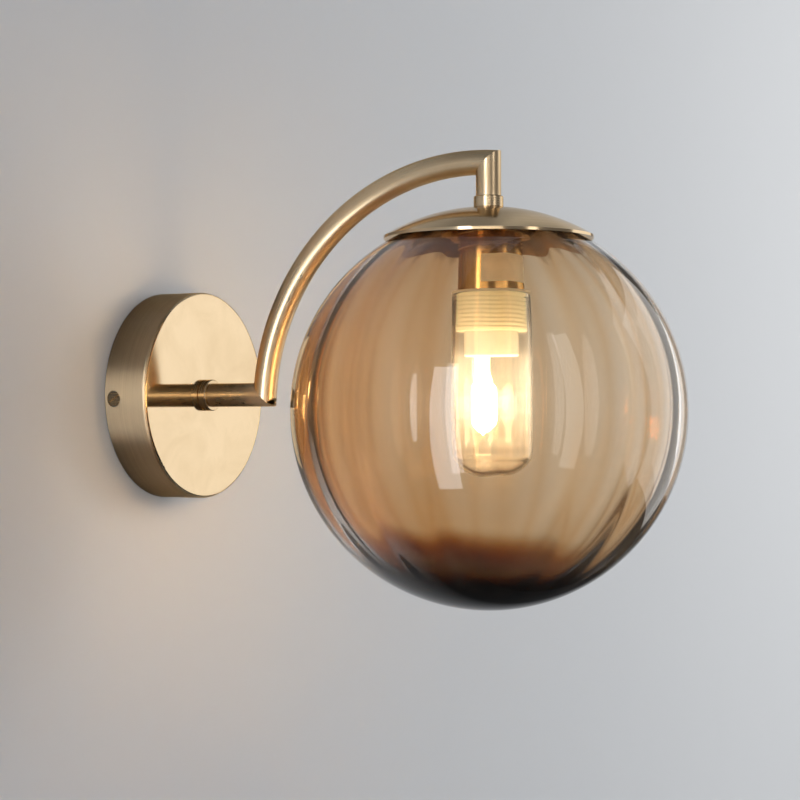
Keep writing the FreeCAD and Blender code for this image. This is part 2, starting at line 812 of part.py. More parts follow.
def fluted_hollow():
    """Inside of the globe: equal lobes from pole to pole, each a round arc swept over the poles."""
    half = math.pi / flute_count
    edge_x = globe_inner_radius * math.cos(half)
    edge_y = globe_inner_radius * math.sin(half)
    rise = flute_crest_radius - edge_x
    lobe_radius = (rise ** 2 + edge_y ** 2) / (2 * rise)
    lobe_centre = flute_crest_radius - lobe_radius
    side = 1.25 * edge_y
    side_x = lobe_centre + math.sqrt(lobe_radius ** 2 - side ** 2)
    zero = FreeCAD.Vector(0, 0, 0)
    across = FreeCAD.Vector(0, 1, 0)
    profile = outline(
        across * -side,
        FreeCAD.Vector(side_x, -side, 0),
        (FreeCAD.Vector(flute_crest_radius, 0, 0), FreeCAD.Vector(side_x, side, 0)),
        across * side,
    )
    profile.rotate(zero, across, -90)
    band = profile.revolve(zero, across, 180)
    wedge_length = 1.3 * globe_radius
    wedge_side = wedge_length * math.tan(half)
    wedge = outline(
        up * -wedge_length,
        FreeCAD.Vector(wedge_length, -wedge_side, -wedge_length),
        FreeCAD.Vector(wedge_length, wedge_side, -wedge_length),
    ).extrude(up * (2 * wedge_length))
    cut_band = band.common(wedge)
    lobe = [face for face in cut_band.Faces if not isinstance(face.Surface, Part.Plane)][0]
    lobes = []
    for i in range(flute_count):
        copy = lobe.copy()
        copy.rotate(zero, up, 360.0 / flute_count * i + flute_turn)
        lobes.append(copy)
    return Part.Solid(Part.makeShell(lobes))


def glass_globe():
    centre = hanging(0, globe_centre_height)
    hollow = fluted_hollow()
    hollow.translate(centre)
    globe = Part.makeSphere(globe_radius, centre).cut(hollow)
    return globe.cut(bar(centre, centre + up * 1.1 * globe_radius, globe_hole_diameter / 2))


def globe_washer():
    """Fibre washer on the ring nut, dished on top to suit the inside of the glass."""
    inner = housing_radius + thread_height + 1.5 * slip_clearance
    outer = globe_washer_diameter / 2
    between = (inner + outer) / 2
    return turned(outline(
        hanging(inner, ring_top),
        hanging(inner, dome_height(washer_seat_radius, inner)),
        (hanging(between, dome_height(washer_seat_radius, between)),
         hanging(outer, dome_height(washer_seat_radius, outer))),
        hanging(outer, ring_top),
    ))


def globe_ring_nut():
    bottom = ring_nut_top - ring_nut_height
    ring = bar(hanging(0, bottom), hanging(0, ring_nut_top), ring_nut_diameter / 2)
    ring = ring.makeChamfer(collar_chamfer, [edge for edge in ring.Edges if edge.Closed])
    return ring.cut(bar(hanging(0, bottom), hanging(0, ring_nut_top),
                        housing_radius + thread_height + running_clearance))


# Inner glass tube and its seal

def tube_seal():
    low = tube_top + seat_gap
    return pipe(hanging(0, low), hanging(0, low + seal_thickness), glass_tube_diameter / 2,
                housing_inner_radius - thread_clearance + slip_clearance)


def tube_wall_line(radius, dome, corner):
    """Tangent points of the tube's round corner, for its outside or its inside."""
    dome_centre = tube_bottom + glass_dome_radius
    corner_x = radius - corner
    corner_z = dome_centre - math.sqrt((dome - corner) ** 2 - corner_x ** 2)
    scale = dome / (dome - corner)
    side = hanging(radius, corner_z)
    meet = hanging(corner_x * scale, dome_centre + (corner_z - dome_centre) * scale)
    slope = math.atan2(dome_centre - corner_z, corner_x) / 2
    middle = hanging(corner_x + corner * math.cos(slope), corner_z - corner * math.sin(slope))
    half = math.atan2(corner_x, dome_centre - corner_z) / 2
    dome_middle = hanging(dome * math.sin(half), dome_centre - dome * math.cos(half))
    return side, middle, meet, dome_middle, hanging(0, dome_centre - dome)


def glass_tube():
    """Clear tube with a rounded lip above and a domed end below."""
    radius = glass_tube_diameter / 2
    lip = glass_tube_wall / 2
    inner = radius - glass_tube_wall
    side, middle, meet, dome_middle, tip = tube_wall_line(radius, glass_dome_radius,
                                                          glass_corner_radius)
    in_side, in_middle, in_meet, in_dome_middle, in_tip = tube_wall_line(
        inner, glass_dome_radius - glass_tube_wall, glass_corner_radius - glass_tube_wall)
    return turned(outline(
        hanging(radius, tube_top - lip),
        side,
        (middle, meet),
        (dome_middle, tip),
        in_tip,
        (in_dome_middle, in_meet),
        (in_middle, in_side),
        hanging(inner, tube_top - lip),
        (hanging(radius - lip, tube_top), hanging(radius, tube_top - lip)),
    ))


# Capsule lamp

def capsule(radius):
    """Round-ended body of the lamp."""
    top = hanging(0, lamp_axis_top)
    low = hanging(0, lamp_axis_top - lamp_straight)
    return bar(low, top, radius).fuse(Part.makeSphere(radius, top)).fuse(
        Part.makeSphere(radius, low)).removeSplitter()


def lamp_capsule():
    glass = capsule(lamp_diameter / 2).cut(capsule(lamp_diameter / 2 - lamp_glass_wall))
    pinch = block(at(-pinch_width / 2, reach - pinch_thickness / 2, pinch_top - pinch_height),
                  at(pinch_width / 2, reach + pinch_thickness / 2, pinch_top))
    return glass.fuse(pinch).removeSplitter()


def lamp_filament():
    top = pinch_top - pinch_height - thread_clearance
    bottom = lamp_axis_top - 0.8 * lamp_straight
    half = filament_spread / 2
    points = [at(-half, reach, top), at(-half, reach, bottom), at(half, reach, bottom),
              at(half, reach, top)]
    return wire_along(rounded_path(points, [0.8 * half, 0.8 * half]), filament_wire / 2)


def lamp_pins():
    pins = []
    half = pin_loop_width / 2
    for x in (-pin_pitch / 2, pin_pitch / 2):
        points = [at(x - half, reach, pinch_top), at(x - half, reach, pinch_top + pin_height),
                  at(x + half, reach, pinch_top + pin_height), at(x + half, reach, pinch_top)]
        pins.append(wire_along(rounded_path(points, [0.9 * half, 0.9 * half]), pin_wire / 2))
    return Part.makeCompound(pins)


pieces = [
    mounting_bracket, backplate_canopy, canopy_side_screws, terminal_block, terminal_inserts,
    terminal_screws, block_screw, earth_screw, earth_ring_terminal, earth_tag_washer, earth_wire,
    root_nipple, root_lock_nut, plate_collar, root_bush, arm_root_stub, curved_arm, drop_stub,
    drop_bush, cap_collar, globe_cap, globe_gasket, cap_spacer, drop_nipple, drop_lock_washer,
    drop_lock_nut, lampholder_housing, rating_label, thread_sleeve, lamp_socket, socket_clip_ring,
    socket_contacts, live_wire, neutral_wire, glass_globe, globe_washer, globe_ring_nut, tube_seal,
    glass_tube, lamp_capsule, lamp_filament, lamp_pins,
]

for piece in pieces:
    piece().exportStep("parts/" + piece.__name__ + ".step")
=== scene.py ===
import math

import bmesh
import bpy
import numpy as np
from mathutils import Euler, Matrix, Vector


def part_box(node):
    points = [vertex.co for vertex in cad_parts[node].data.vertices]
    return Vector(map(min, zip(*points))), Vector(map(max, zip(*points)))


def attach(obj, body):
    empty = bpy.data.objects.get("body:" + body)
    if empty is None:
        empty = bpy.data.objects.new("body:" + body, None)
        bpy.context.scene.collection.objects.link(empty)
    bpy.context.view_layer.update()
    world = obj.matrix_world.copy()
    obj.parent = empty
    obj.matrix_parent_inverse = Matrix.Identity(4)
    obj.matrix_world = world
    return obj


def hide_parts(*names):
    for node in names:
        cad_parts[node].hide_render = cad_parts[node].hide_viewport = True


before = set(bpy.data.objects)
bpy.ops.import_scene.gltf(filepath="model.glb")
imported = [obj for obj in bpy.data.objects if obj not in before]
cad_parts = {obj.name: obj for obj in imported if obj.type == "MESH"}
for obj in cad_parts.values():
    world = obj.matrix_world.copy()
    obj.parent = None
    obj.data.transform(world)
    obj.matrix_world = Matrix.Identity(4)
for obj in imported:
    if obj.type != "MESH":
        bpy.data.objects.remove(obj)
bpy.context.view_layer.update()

bl_info = {
    "name": "Globe Wall Sconce",
    "version": (1, 0, 0),
    "blender": (4, 5, 0),
    "location": "3D View > Sidebar > Sconce",
    "description": "Dresses a brass wall sconce with a fluted amber globe and its inner glass tube",
    "category": "Object",
}

# Everything is in metres. The wall is the plane y = 0, the lamp reaches out along -Y, and +Z is up.
GLOBE_LOW, GLOBE_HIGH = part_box("glass_globe")
GLOBE_RADIUS = (GLOBE_HIGH.x - GLOBE_LOW.x) / 2
AXIS = Vector((0.0, (GLOBE_LOW.y + GLOBE_HIGH.y) / 2, 0.0))
GLOBE_CENTRE = Vector((0.0, AXIS.y, GLOBE_LOW.z + GLOBE_RADIUS))
TUBE_LOW, TUBE_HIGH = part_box("glass_tube")
SLEEVE_LOW, SLEEVE_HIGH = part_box("thread_sleeve")
CAPSULE_LOW, CAPSULE_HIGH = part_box("lamp_capsule")
FILAMENT_LOW, FILAMENT_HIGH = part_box("lamp_filament")
ARM_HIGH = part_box("curved_arm")[1]
ORIGIN = (0.0, 0.0, 0.0)
BLACK = (0.0, 0.0, 0.0)
# The lines on a straight piece run round an axis this far away, so that they look straight.
STRAIGHT = 2.0
BELOW_WALL = (0.0, 0.0, -STRAIGHT)
# Turns that bring the axis of the brushing to Z
AROUND_X = (0.0, math.pi / 2, 0.0)
AROUND_Y = (-math.pi / 2, 0.0, 0.0)
AROUND_Z = (0.0, 0.0, 0.0)


# Sizes and colours that a user would change

def length(label, text, default):
    return bpy.props.FloatProperty(name=label, description=text, default=default, unit="LENGTH",
                                   subtype="DISTANCE", precision=5)


def colour(label, text, default):
    return bpy.props.FloatVectorProperty(name=label, description=text, default=default,
                                         subtype="COLOR", size=3, min=0.0, max=1.0)


def amount(label, text, default):
    return bpy.props.FloatProperty(name=label, description=text, default=default)


class SconceSizes(bpy.types.PropertyGroup):
    wall_at_side: length("Glass at side", "Thickness of the globe's glass at its middle", 0.0022)
    wall_at_base: length("Glass at base", "Thickness of the globe's glass at its bottom", 0.0085)
    wall_at_neck: length("Glass at neck", "Thickness of the globe's glass at its mouth", 0.0030)
    mouth_radius: length("Mouth radius", "Radius of the hole at the top of the globe", 0.0195)
    flute_count: bpy.props.IntProperty(name="Flutes", description="Flutes around the globe",
                                       default=16)
    flute_depth: length("Flute depth", "Depth of the flutes inside the globe", 0.0009)
    flute_turn: bpy.props.FloatProperty(name="Flute turn", description="Turn of the flutes",
                                        default=math.radians(-3.0), subtype="ANGLE")
    tube_wall: length("Tube wall", "Thickness of the inner tube's glass", 0.0024)
    tube_dome: length("Tube dome", "Radius of the inner tube's domed end", 0.0256)
    tube_corner: length("Tube corner", "Radius between the tube's side and its dome", 0.0060)
    thread_pitch: length("Thread pitch", "Pitch of the thread between tube and sleeve", 0.0022)
    thread_height: length("Thread height", "Height of the sleeve's thread", 0.0006)
    sleeve_core: length("Sleeve radius", "Radius of the sleeve under its thread", 0.0172)
    sleeve_neck: length("Sleeve neck", "Height of the sleeve's plain neck", 0.0080)
    sleeve_wall: length("Sleeve wall", "Wall of the sleeve", 0.0028)
    sleeve_floor: length("Sleeve floor", "Thickness of the floor that holds the socket", 0.0020)
    socket_hole: length("Socket hole", "Radius of the hole in the sleeve's floor", 0.0121)
    pinch_height: length("Pinch height", "Height of the capsule's flat pressed end", 0.0135)
    coil_radius: length("Coil radius", "Radius of the filament's fine coil", 0.00032)
    coil_wire: length("Coil wire", "Thickness of the filament's wire", 0.00016)
    coil_pitch: length("Coil pitch", "Distance between turns of the fine coil", 0.00045)
    arm_radius: length("Arm radius", "Radius of the bent arm's centre line", 0.1245)
    arm_overrun: length("Arm overrun", "Distance from the arm's centre to the globe's axis", 0.0100)
    tube_radius: length("Arm tube radius", "Outer radius of the arm's tube", 0.00635)


class SconceColours(bpy.types.PropertyGroup):
    brass: colour("Brass", "Satin brass", (0.82, 0.64, 0.42))
    brass_dark: colour("Aged brass", "Brass where it has browned", (0.52, 0.35, 0.18))
    smoke: colour("Smoke", "Tone of the outside of the globe", (0.80, 0.78, 0.76))
    brass_edge: colour("Brass edge", "Brass seen at a low angle", (0.66, 0.51, 0.34))
    holder_brass: colour("Holder brass", "Brass of the lampholder's housing", (0.78, 0.56, 0.27))
    steel: colour("Zinced steel", "Zinc-plated steel", (0.62, 0.63, 0.66))
    amber: colour("Amber", "Stain on the inside of the globe", (0.80, 0.50, 0.235))
    ceramic: colour("Ceramic", "Glazed lamp socket", (0.86, 0.84, 0.79))
    glow: colour("Glow", "Light of the capsule", (1.0, 0.86, 0.64))
    label: colour("Label", "Bare cream label", (0.98, 0.94, 0.82))
    pale_brass: colour("Sleeve", "Threaded sleeve", (0.98, 0.90, 0.68))
    silicone: colour("Silicone", "Seal above the inner tube", (0.80, 0.76, 0.66))
    rubber: colour("Rubber", "Gasket", (0.030, 0.030, 0.032))
    fibre: colour("Fibre", "Fibre washer", (0.36, 0.10, 0.07))
    block: colour("Terminal block", "Moulded terminal block", (0.80, 0.80, 0.77))
    live: colour("Live", "Live sleeving", (0.20, 0.075, 0.030))
    neutral: colour("Neutral", "Neutral sleeving", (0.035, 0.11, 0.42))
    earth: colour("Earth", "Earth sleeving", (0.09, 0.40, 0.07))
    earth_stripe: colour("Earth stripe", "Stripe of the earth sleeving", (0.86, 0.72, 0.06))
    wall: colour("Wall", "Wall behind the sconce", (0.640, 0.650, 0.665))
    floor: colour("Floor", "Floor below the sconce", (0.72, 0.72, 0.71))
    sky: colour("Surroundings", "Pale surroundings", (0.76, 0.77, 0.79))
    glow_strength: amount("Glow strength", "Strength of the capsule's light", 420.0)
    # The amber's lean to one side is partly uneven amber and partly a painted sheen standing in for
    # the reflection of the lamps on that side.
    lean_of_stain_and_sheen: amount("Stain lean", "How much thinner the amber is on one side", 0.34)
    side_of_stain_and_sheen: bpy.props.FloatProperty(name="Stain side", description="Side of the thinner amber",
                                        default=math.radians(290.0), subtype="ANGLE")


def sizes():
    return bpy.context.scene.sconce_sizes


def colours():
    return bpy.context.scene.sconce_colours


def brass_tones():
    """Brass, aged brass, and brass seen at a low angle."""
    look = colours()
    return look.brass[:], look.brass_dark[:], look.brass_edge[:]


# Node trees

def put(tree, kind, settings=None, **inputs):
    """Adds a node. An input is a plain value or another node's output, and _ stands for a space."""
    node = tree.nodes.new(kind)
    for key, value in (settings or {}).items():
        setattr(node, key, value)
    for key, value in inputs.items():
        feed(tree, node.inputs[key.replace("_", " ")], value)
    return node


def feed(tree, socket, value):
    if isinstance(value, bpy.types.NodeSocket):
        tree.links.new(value, socket)
    elif socket.type == "RGBA" and len(value) == 3:
        socket.default_value = (*value, 1.0)
    else:
        socket.default_value = value


def sum_up(tree, operation, *values):
    """Math node with its inputs in order."""
    node = put(tree, "ShaderNodeMath", {"operation": operation})
    for socket, value in zip(node.inputs, values):
        feed(tree, socket, value)
    return node.outputs[0]


def blend_colour(tree, share, first, second):
    node = put(tree, "ShaderNodeMix", {"data_type": "RGBA"})
    feed(tree, node.inputs[0], share)
    feed(tree, node.inputs[6], first)
    feed(tree, node.inputs[7], second)
    return node.outputs[2]


def remap(tree, value, low, high, to_low, to_high, course="LINEAR"):
    """Goes from to_low to to_high while the value goes from low to high, and stays there beyond."""
    return put(tree, "ShaderNodeMapRange", {"interpolation_type": course}, Value=value,
               From_Min=low, From_Max=high, To_Min=to_low, To_Max=to_high).outputs[0]


def power(tree, tone, exponent):
    """Colour to a power, as light keeps of it after a thicker or thinner layer."""
    return put(tree, "ShaderNodeGamma", Color=tone, Gamma=exponent).outputs[0]


def coordinate(tree, point, axis):
    return put(tree, "ShaderNodeSeparateXYZ", Vector=point).outputs[axis]


def new_group(name, inputs, outputs):
    """Shader node group with its sockets, and the inside ends of them."""
    group = bpy.data.node_groups.new(name, "ShaderNodeTree")
    for socket_name, kind in inputs:
        group.interface.new_socket(socket_name, in_out="INPUT", socket_type=kind)
    for socket_name, kind in outputs:
        group.interface.new_socket(socket_name, in_out="OUTPUT", socket_type=kind)
    return group, put(group, "NodeGroupInput").outputs, put(group, "NodeGroupOutput").inputs


def use_group(tree, build, **inputs):
    """Places a shared node group, and builds it the first time."""
    name = build.__name__
    group = bpy.data.node_groups.get(name) or build(name)
    return put(tree, "ShaderNodeGroup", {"node_tree": group}, **inputs).outputs


def turned_grain(name):
    """Fine lines that run round the Z axis of the given point. Noise is read at (x, y) times Run
    and at height plus distance from the axis times Lines, so it changes slowly along a line."""
    group, given, out = new_group(
        name,
        [("Point", "NodeSocketVector"), ("Run", "NodeSocketFloat"), ("Lines", "NodeSocketFloat")],
        [("Streaks", "NodeSocketFloat")])
    apart = put(group, "ShaderNodeSeparateXYZ", Vector=given["Point"]).outputs
    squares = sum_up(group, "MULTIPLY_ADD", apart["X"], apart["X"],
                     sum_up(group, "MULTIPLY", apart["Y"], apart["Y"]))
    across = sum_up(group, "ADD", sum_up(group, "SQRT", squares), apart["Z"])
    place = put(group, "ShaderNodeCombineXYZ",
                X=sum_up(group, "MULTIPLY", apart["X"], given["Run"]),
                Y=sum_up(group, "MULTIPLY", apart["Y"], given["Run"]),
                Z=sum_up(group, "MULTIPLY", across, given["Lines"])).outputs[0]
    noise = put(group, "ShaderNodeTexNoise", Vector=place, Scale=1.0, Detail=3.0,
                Roughness=0.65)
    group.links.new(noise.outputs[0], out["Streaks"])
    return group


def handling(name):
    """Cloudy marks of use: one coarse noise, bent on itself, as a mask with soft edges."""
    group, given, out = new_group(
        name,
        [("Point", "NodeSocketVector"), ("Scale", "NodeSocketFloat")],
        [("Clouds", "NodeSocketFloat")])
    coarse = put(group, "ShaderNodeTexNoise", Vector=given["Point"], Scale=given["Scale"],
                 Detail=4.0, Roughness=0.55, Distortion=0.6)
    group.links.new(remap(group, coarse.outputs[0], 0.38, 0.68, 0.0, 1.0), out["Clouds"])
    return group


def moulded(name):
    """Fine even grain of a moulded, glazed or cast skin, as a height and a slight tone."""
    group, given, out = new_group(
        name,
        [("Point", "NodeSocketVector"), ("Scale", "NodeSocketFloat")],
        [("Height", "NodeSocketFloat"), ("Tone", "NodeSocketFloat")])
    grain = put(group, "ShaderNodeTexNoise", Vector=given["Point"], Scale=given["Scale"],
                Detail=3.0)
    tone = put(group, "ShaderNodeTexNoise", Vector=given["Point"],
               Scale=sum_up(group, "MULTIPLY", given["Scale"], 0.06), Detail=2.0)
    group.links.new(grain.outputs[0], out["Height"])
    group.links.new(tone.outputs[0], out["Tone"])
    return group


def new_material(name, **principled):
    """Material with one Principled shader. Plain values go on its own sockets."""
    material = bpy.data.materials.new(name)
    material.use_nodes = True
    tree = material.node_tree
    tree.nodes.clear()
    shader = put(tree, "ShaderNodeBsdfPrincipled", **principled)
    put(tree, "ShaderNodeOutputMaterial", Surface=shader.outputs[0])
    return material, tree, shader.inputs


def show_instead(tree, mask, other):
    """Shows another shader than the material's own where the mask is 1."""
    output = next(node for node in tree.nodes if node.type == "OUTPUT_MATERIAL")
    own = output.inputs["Surface"].links[0].from_socket
    choose = put(tree, "ShaderNodeMixShader")
    for socket, value in zip(choose.inputs, (mask, own, other)):
        feed(tree, socket, value)
    feed(tree, output.inputs["Surface"], choose.outputs[0])


def object_point(tree):
    return put(tree, "ShaderNodeTexCoord").outputs["Object"]


def on_object(tree, build, scale):
    """Places a shared node group on the object's own coordinates."""
    return use_group(tree, build, Point=object_point(tree), Scale=scale)


def about(tree, centre, turn):
    """Object coordinates counted from a centre, turned so that the wanted axis is Z."""
    return put(tree, "ShaderNodeMapping", {"vector_type": "TEXTURE"}, Vector=object_point(tree),
               Location=centre, Rotation=turn).outputs[0]


def bump(tree, height, strength, distance):
    return put(tree, "ShaderNodeBump", Height=height, Strength=strength,
               Distance=distance).outputs[0]


# Share of aged brass, and extra roughness, that brush lines and handling marks bring
LINES_BROWN = 0.34
CLOUDS_BROWN = 0.22
LINES_ROUGH = 0.16
CLOUDS_ROUGH = 0.05
BRUSH_DEPTH = 0.0004
# How fast the lines' tone changes along them
GRAIN_RUN = 14.0
# What is left of the lines' tone and relief where metal is buffed, and how rough it and the
# handling marks are there
BUFFED_LINES = 0.08
BUFFED_RELIEF = 0.04
BUFFED_ROUGHNESS = 0.07
BUFFED_CLOUDS = 0.03


def brushed(name, centre, turn, tone, dark, edge, roughness, lines=1700.0, relief=0.10,
            spread=0.0, polished=None, **principled):
    """Brushed metal with lines round an axis, slight browning and handling marks. Highlights spread
    across the lines. polished gives a mask of what is buffed to a mirror."""
    material, tree, shader = new_material(name, **{
        "Metallic": 1.0, "Specular_Tint": (*edge, 1.0), "Anisotropic": spread,
        "Anisotropic_Rotation": 0.25, **principled})
    if spread:
        axis = {AROUND_X: "X", AROUND_Y: "Y", AROUND_Z: "Z"}[turn]
        feed(tree, shader["Tangent"], put(tree, "ShaderNodeTangent", {
            "direction_type": "RADIAL", "axis": axis}).outputs[0])
    point = about(tree, centre, turn)
    streaks = use_group(tree, turned_grain, Point=point, Run=GRAIN_RUN, Lines=lines)["Streaks"]
    marks = on_object(tree, handling, 34.0)
    lined = remap(tree, streaks, 0.30, 0.75, 0.0, LINES_BROWN)
    if polished:
        buffed = polished(tree)
        lined = sum_up(tree, "MULTIPLY", lined, remap(tree, buffed, 0.0, 1.0, 1.0, BUFFED_LINES))
    browned = sum_up(tree, "MULTIPLY_ADD", marks["Clouds"], CLOUDS_BROWN, lined)
    feed(tree, shader["Base Color"], blend_colour(tree, browned, tone, dark))
    rough = sum_up(tree, "MULTIPLY_ADD", streaks, LINES_ROUGH, roughness - LINES_ROUGH / 2)
    rough = sum_up(tree, "MULTIPLY_ADD", marks["Clouds"], CLOUDS_ROUGH, rough)
    height = streaks
    if polished:
        smooth = sum_up(tree, "MULTIPLY_ADD", marks["Clouds"], BUFFED_CLOUDS, BUFFED_ROUGHNESS)
        rough = sum_up(tree, "MULTIPLY_ADD", sum_up(tree, "SUBTRACT", smooth, rough), buffed, rough)
        height = sum_up(tree, "MULTIPLY", streaks,
                        remap(tree, buffed, 0.0, 1.0, 1.0, BUFFED_RELIEF))
    feed(tree, shader["Roughness"], rough)
    feed(tree, shader["Normal"], bump(tree, height, relief, BRUSH_DEPTH))
    return material


def plate_face(tree):
    """Mask of the plate's flat front."""
    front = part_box("backplate_canopy")[0].y
    return remap(tree, coordinate(tree, object_point(tree), "Y"), front + 0.0004, front + 0.0002,
                 0.0, 1.0)


def plain_finish(name, tone, roughness, grain=900.0, relief=0.15, **principled):
    """Moulded, painted or glazed finish with a fine grain."""
    material, tree, shader = new_material(name, **principled)
    skin = on_object(tree, moulded, grain)
    darker = tuple(0.86 * part for part in tone)
    feed(tree, shader["Base Color"],
         blend_colour(tree, remap(tree, skin["Tone"], 0.35, 0.65, 0.0, 1.0), tone, darker))
    feed(tree, shader["Roughness"], remap(tree, skin["Height"], 0.3, 0.7, roughness - 0.05,
                                          roughness + 0.05))
    feed(tree, shader["Normal"], bump(tree, skin["Height"], relief, 0.0002))
    return material


def glass(name, stain, smears, clarity, ior=1.5, held_back=0.0, deepen=0.0):
    """Clear glass. Lamps shine through it by a Transparent shader that shadow rays alone meet, less
    the share of their light that is held back. stain is a function that gives the colour over the
    surface, and smears is the roughness that handling marks bring. What clarity lacks to one is
    haze, which the capsule lights up. deepen strengthens the colour where the glass is seen at a
    low angle."""
    material, tree, shader = new_material(name, Transmission_Weight=clarity, IOR=ior)
    tint = stain(tree)
    aslant = put(tree, "ShaderNodeLayerWeight", Blend=0.5).outputs["Facing"]
    deeper = sum_up(tree, "MULTIPLY_ADD", sum_up(tree, "POWER", aslant, 2.0), deepen, 1.0)
    feed(tree, shader["Base Color"], power(tree, tint, deeper))
    marks = on_object(tree, handling, 26.0)
    feed(tree, shader["Roughness"], sum_up(tree, "MULTIPLY", marks["Clouds"], smears))
    passed = blend_colour(tree, held_back, power(tree, tint, 0.5), BLACK)
    show_instead(tree, put(tree, "ShaderNodeLightPath").outputs["Is Shadow Ray"],
                 put(tree, "ShaderNodeBsdfTransparent", Color=passed).outputs[0])
    return material


# Surfaces

def surface(name, points, body, material):
    """Closed piece from a grid of points (rows, columns, 3) that joins up across its columns. Rows
    that shrink to a point close the poles. The faces are turned outwards by their signed volume."""
    rows, columns = points.shape[:2]
    index = np.arange(rows * columns).reshape(rows, columns)
    index = np.hstack([index, index[:, :1]])
    faces = np.stack([index[:-1, :-1], index[:-1, 1:], index[1:, 1:], index[1:, :-1]], axis=-1)
    faces = faces.reshape(-1, 4)
    corners = points.reshape(-1, 3)[faces]
    volume = np.einsum("ij,ij->", corners[:, 0], np.cross(corners[:, 1] - corners[:, 0],
                                                          corners[:, 2] - corners[:, 0])
                       + np.cross(corners[:, 2] - corners[:, 0], corners[:, 3] - corners[:, 0]))
    if volume < 0:
        faces = faces[:, ::-1]
    mesh = bpy.data.meshes.new(name)
    mesh.from_pydata(points.reshape(-1, 3).tolist(), [], faces.tolist())
    work = bmesh.new()
    work.from_mesh(mesh)
    bmesh.ops.remove_doubles(work, verts=work.verts, dist=1e-6)
    work.to_mesh(mesh)
    work.free()
    mesh.shade_smooth()
    mesh.materials.append(material)
    piece = bpy.data.objects.new(name, mesh)
    bpy.context.scene.collection.objects.link(piece)
    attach(piece, body)
    return piece


def full_turn(count):
    """Angles round a circle, less the last one, which would repeat the first."""
    return np.linspace(0.0, 2 * math.pi, count, endpoint=False)


def spin(radius, height, angle):
    """Points at a radius, a height and an angle about the hanging axis, as one array."""
    return np.stack([radius * np.cos(angle), AXIS.y + radius * np.sin(angle),
                     height + np.zeros_like(angle) * radius], axis=-1)


def arc(centre, radius, start, end, count):
    """Points (x, z) of a round arc. Angles are in degrees, counted from +X towards +Z."""
    turn = np.radians(np.linspace(start, end, count))
    return np.stack([centre[0] + radius * np.cos(turn), centre[1] + radius * np.sin(turn)], axis=-1)


def run(start, end, count):
    """Points (x, z) of a straight run."""
    share = np.linspace(0.0, 1.0, count)[:, None]
    return np.array(start) * (1 - share) + np.array(end) * share


def carried(path, radius, around):
    """Tube round a path of points: at each point a circle of the radius, in the plane of two
    directions square to the path, of which the first is square to the Y axis too."""
    along = np.gradient(path, axis=0)
    along /= np.linalg.norm(along, axis=1)[:, None]
    first = np.cross(along, (0.0, 1.0, 0.0))
    first /= np.linalg.norm(first, axis=1)[:, None]
    second = np.cross(along, first)
    turn = full_turn(around)[None, :, None]
    ring = np.cos(turn) * first[:, None] + np.sin(turn) * second[:, None]
    tube = path[:, None] + radius * ring
    ends = [np.repeat(path[end][None, None], around, axis=1) for end in (0, -1)]
    return np.concatenate([ends[0], tube, ends[1]])


def dress(material, *names):
    """Gives CAD nodes a material, in their objects' own slots."""
    for name in names:
        for material_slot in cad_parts[name].material_slots:
            material_slot.link = "OBJECT"
            material_slot.material = material


# Operators

# Colours of the cap and of the sleeve at a low angle, and of the sleeve's faint glow, which is
# painted lamplight: the sleeve gives off light of its own in place of the capsule's light on it
CAP_EDGE = (0.86, 0.79, 0.69)
SLEEVE_EDGE = (0.85, 0.75, 0.6)
SLEEVE_PAINTED_LAMPLIGHT = (1.0, 0.88, 0.52, 1.0)


class BrassOperator(bpy.types.Operator):
    """Finish the plate, the arm, its collars and the cap in satin brass"""
    bl_idname = "sconce.brass"
    bl_label = "Brasswork"

    def execute(self, context):
        size = sizes()
        brass = brass_tones()
        arm_centre = (0.0, AXIS.y + size.arm_overrun,
                      ARM_HIGH.z - size.arm_radius - size.tube_radius)
        beyond_globe = (0.0, AXIS.y - STRAIGHT, 0.0)
        dress(brushed("plate_brass", ORIGIN, AROUND_Y, *brass, roughness=0.36, relief=0.22,
                      spread=0.93, polished=plate_face), "backplate_canopy")
        dress(brushed("arm_brass", arm_centre, AROUND_X, *brass, roughness=0.28, relief=0.2),
              "curved_arm")
        dress(brushed("root_brass", BELOW_WALL, AROUND_X, *brass, roughness=0.28, relief=0.2),
              "arm_root_stub")
        dress(brushed("drop_brass", beyond_globe, AROUND_X, *brass, roughness=0.28), "drop_stub")
        dress(brushed("plate_collar_brass", ORIGIN, AROUND_Y, *brass, roughness=0.24),
              "plate_collar")
        dress(brushed("cap_collar_brass", AXIS, AROUND_Z, *brass, roughness=0.24), "cap_collar")
        dress(brushed("cap_brass", AXIS, AROUND_Z, *brass[:2], CAP_EDGE, roughness=0.12,
                      lines=1300.0, relief=0.03), "globe_cap")
        dress(brushed("screw_brass", BELOW_WALL, AROUND_X, *brass, roughness=0.26, lines=2600.0),
              "canopy_side_screws")
        return {"FINISHED"}


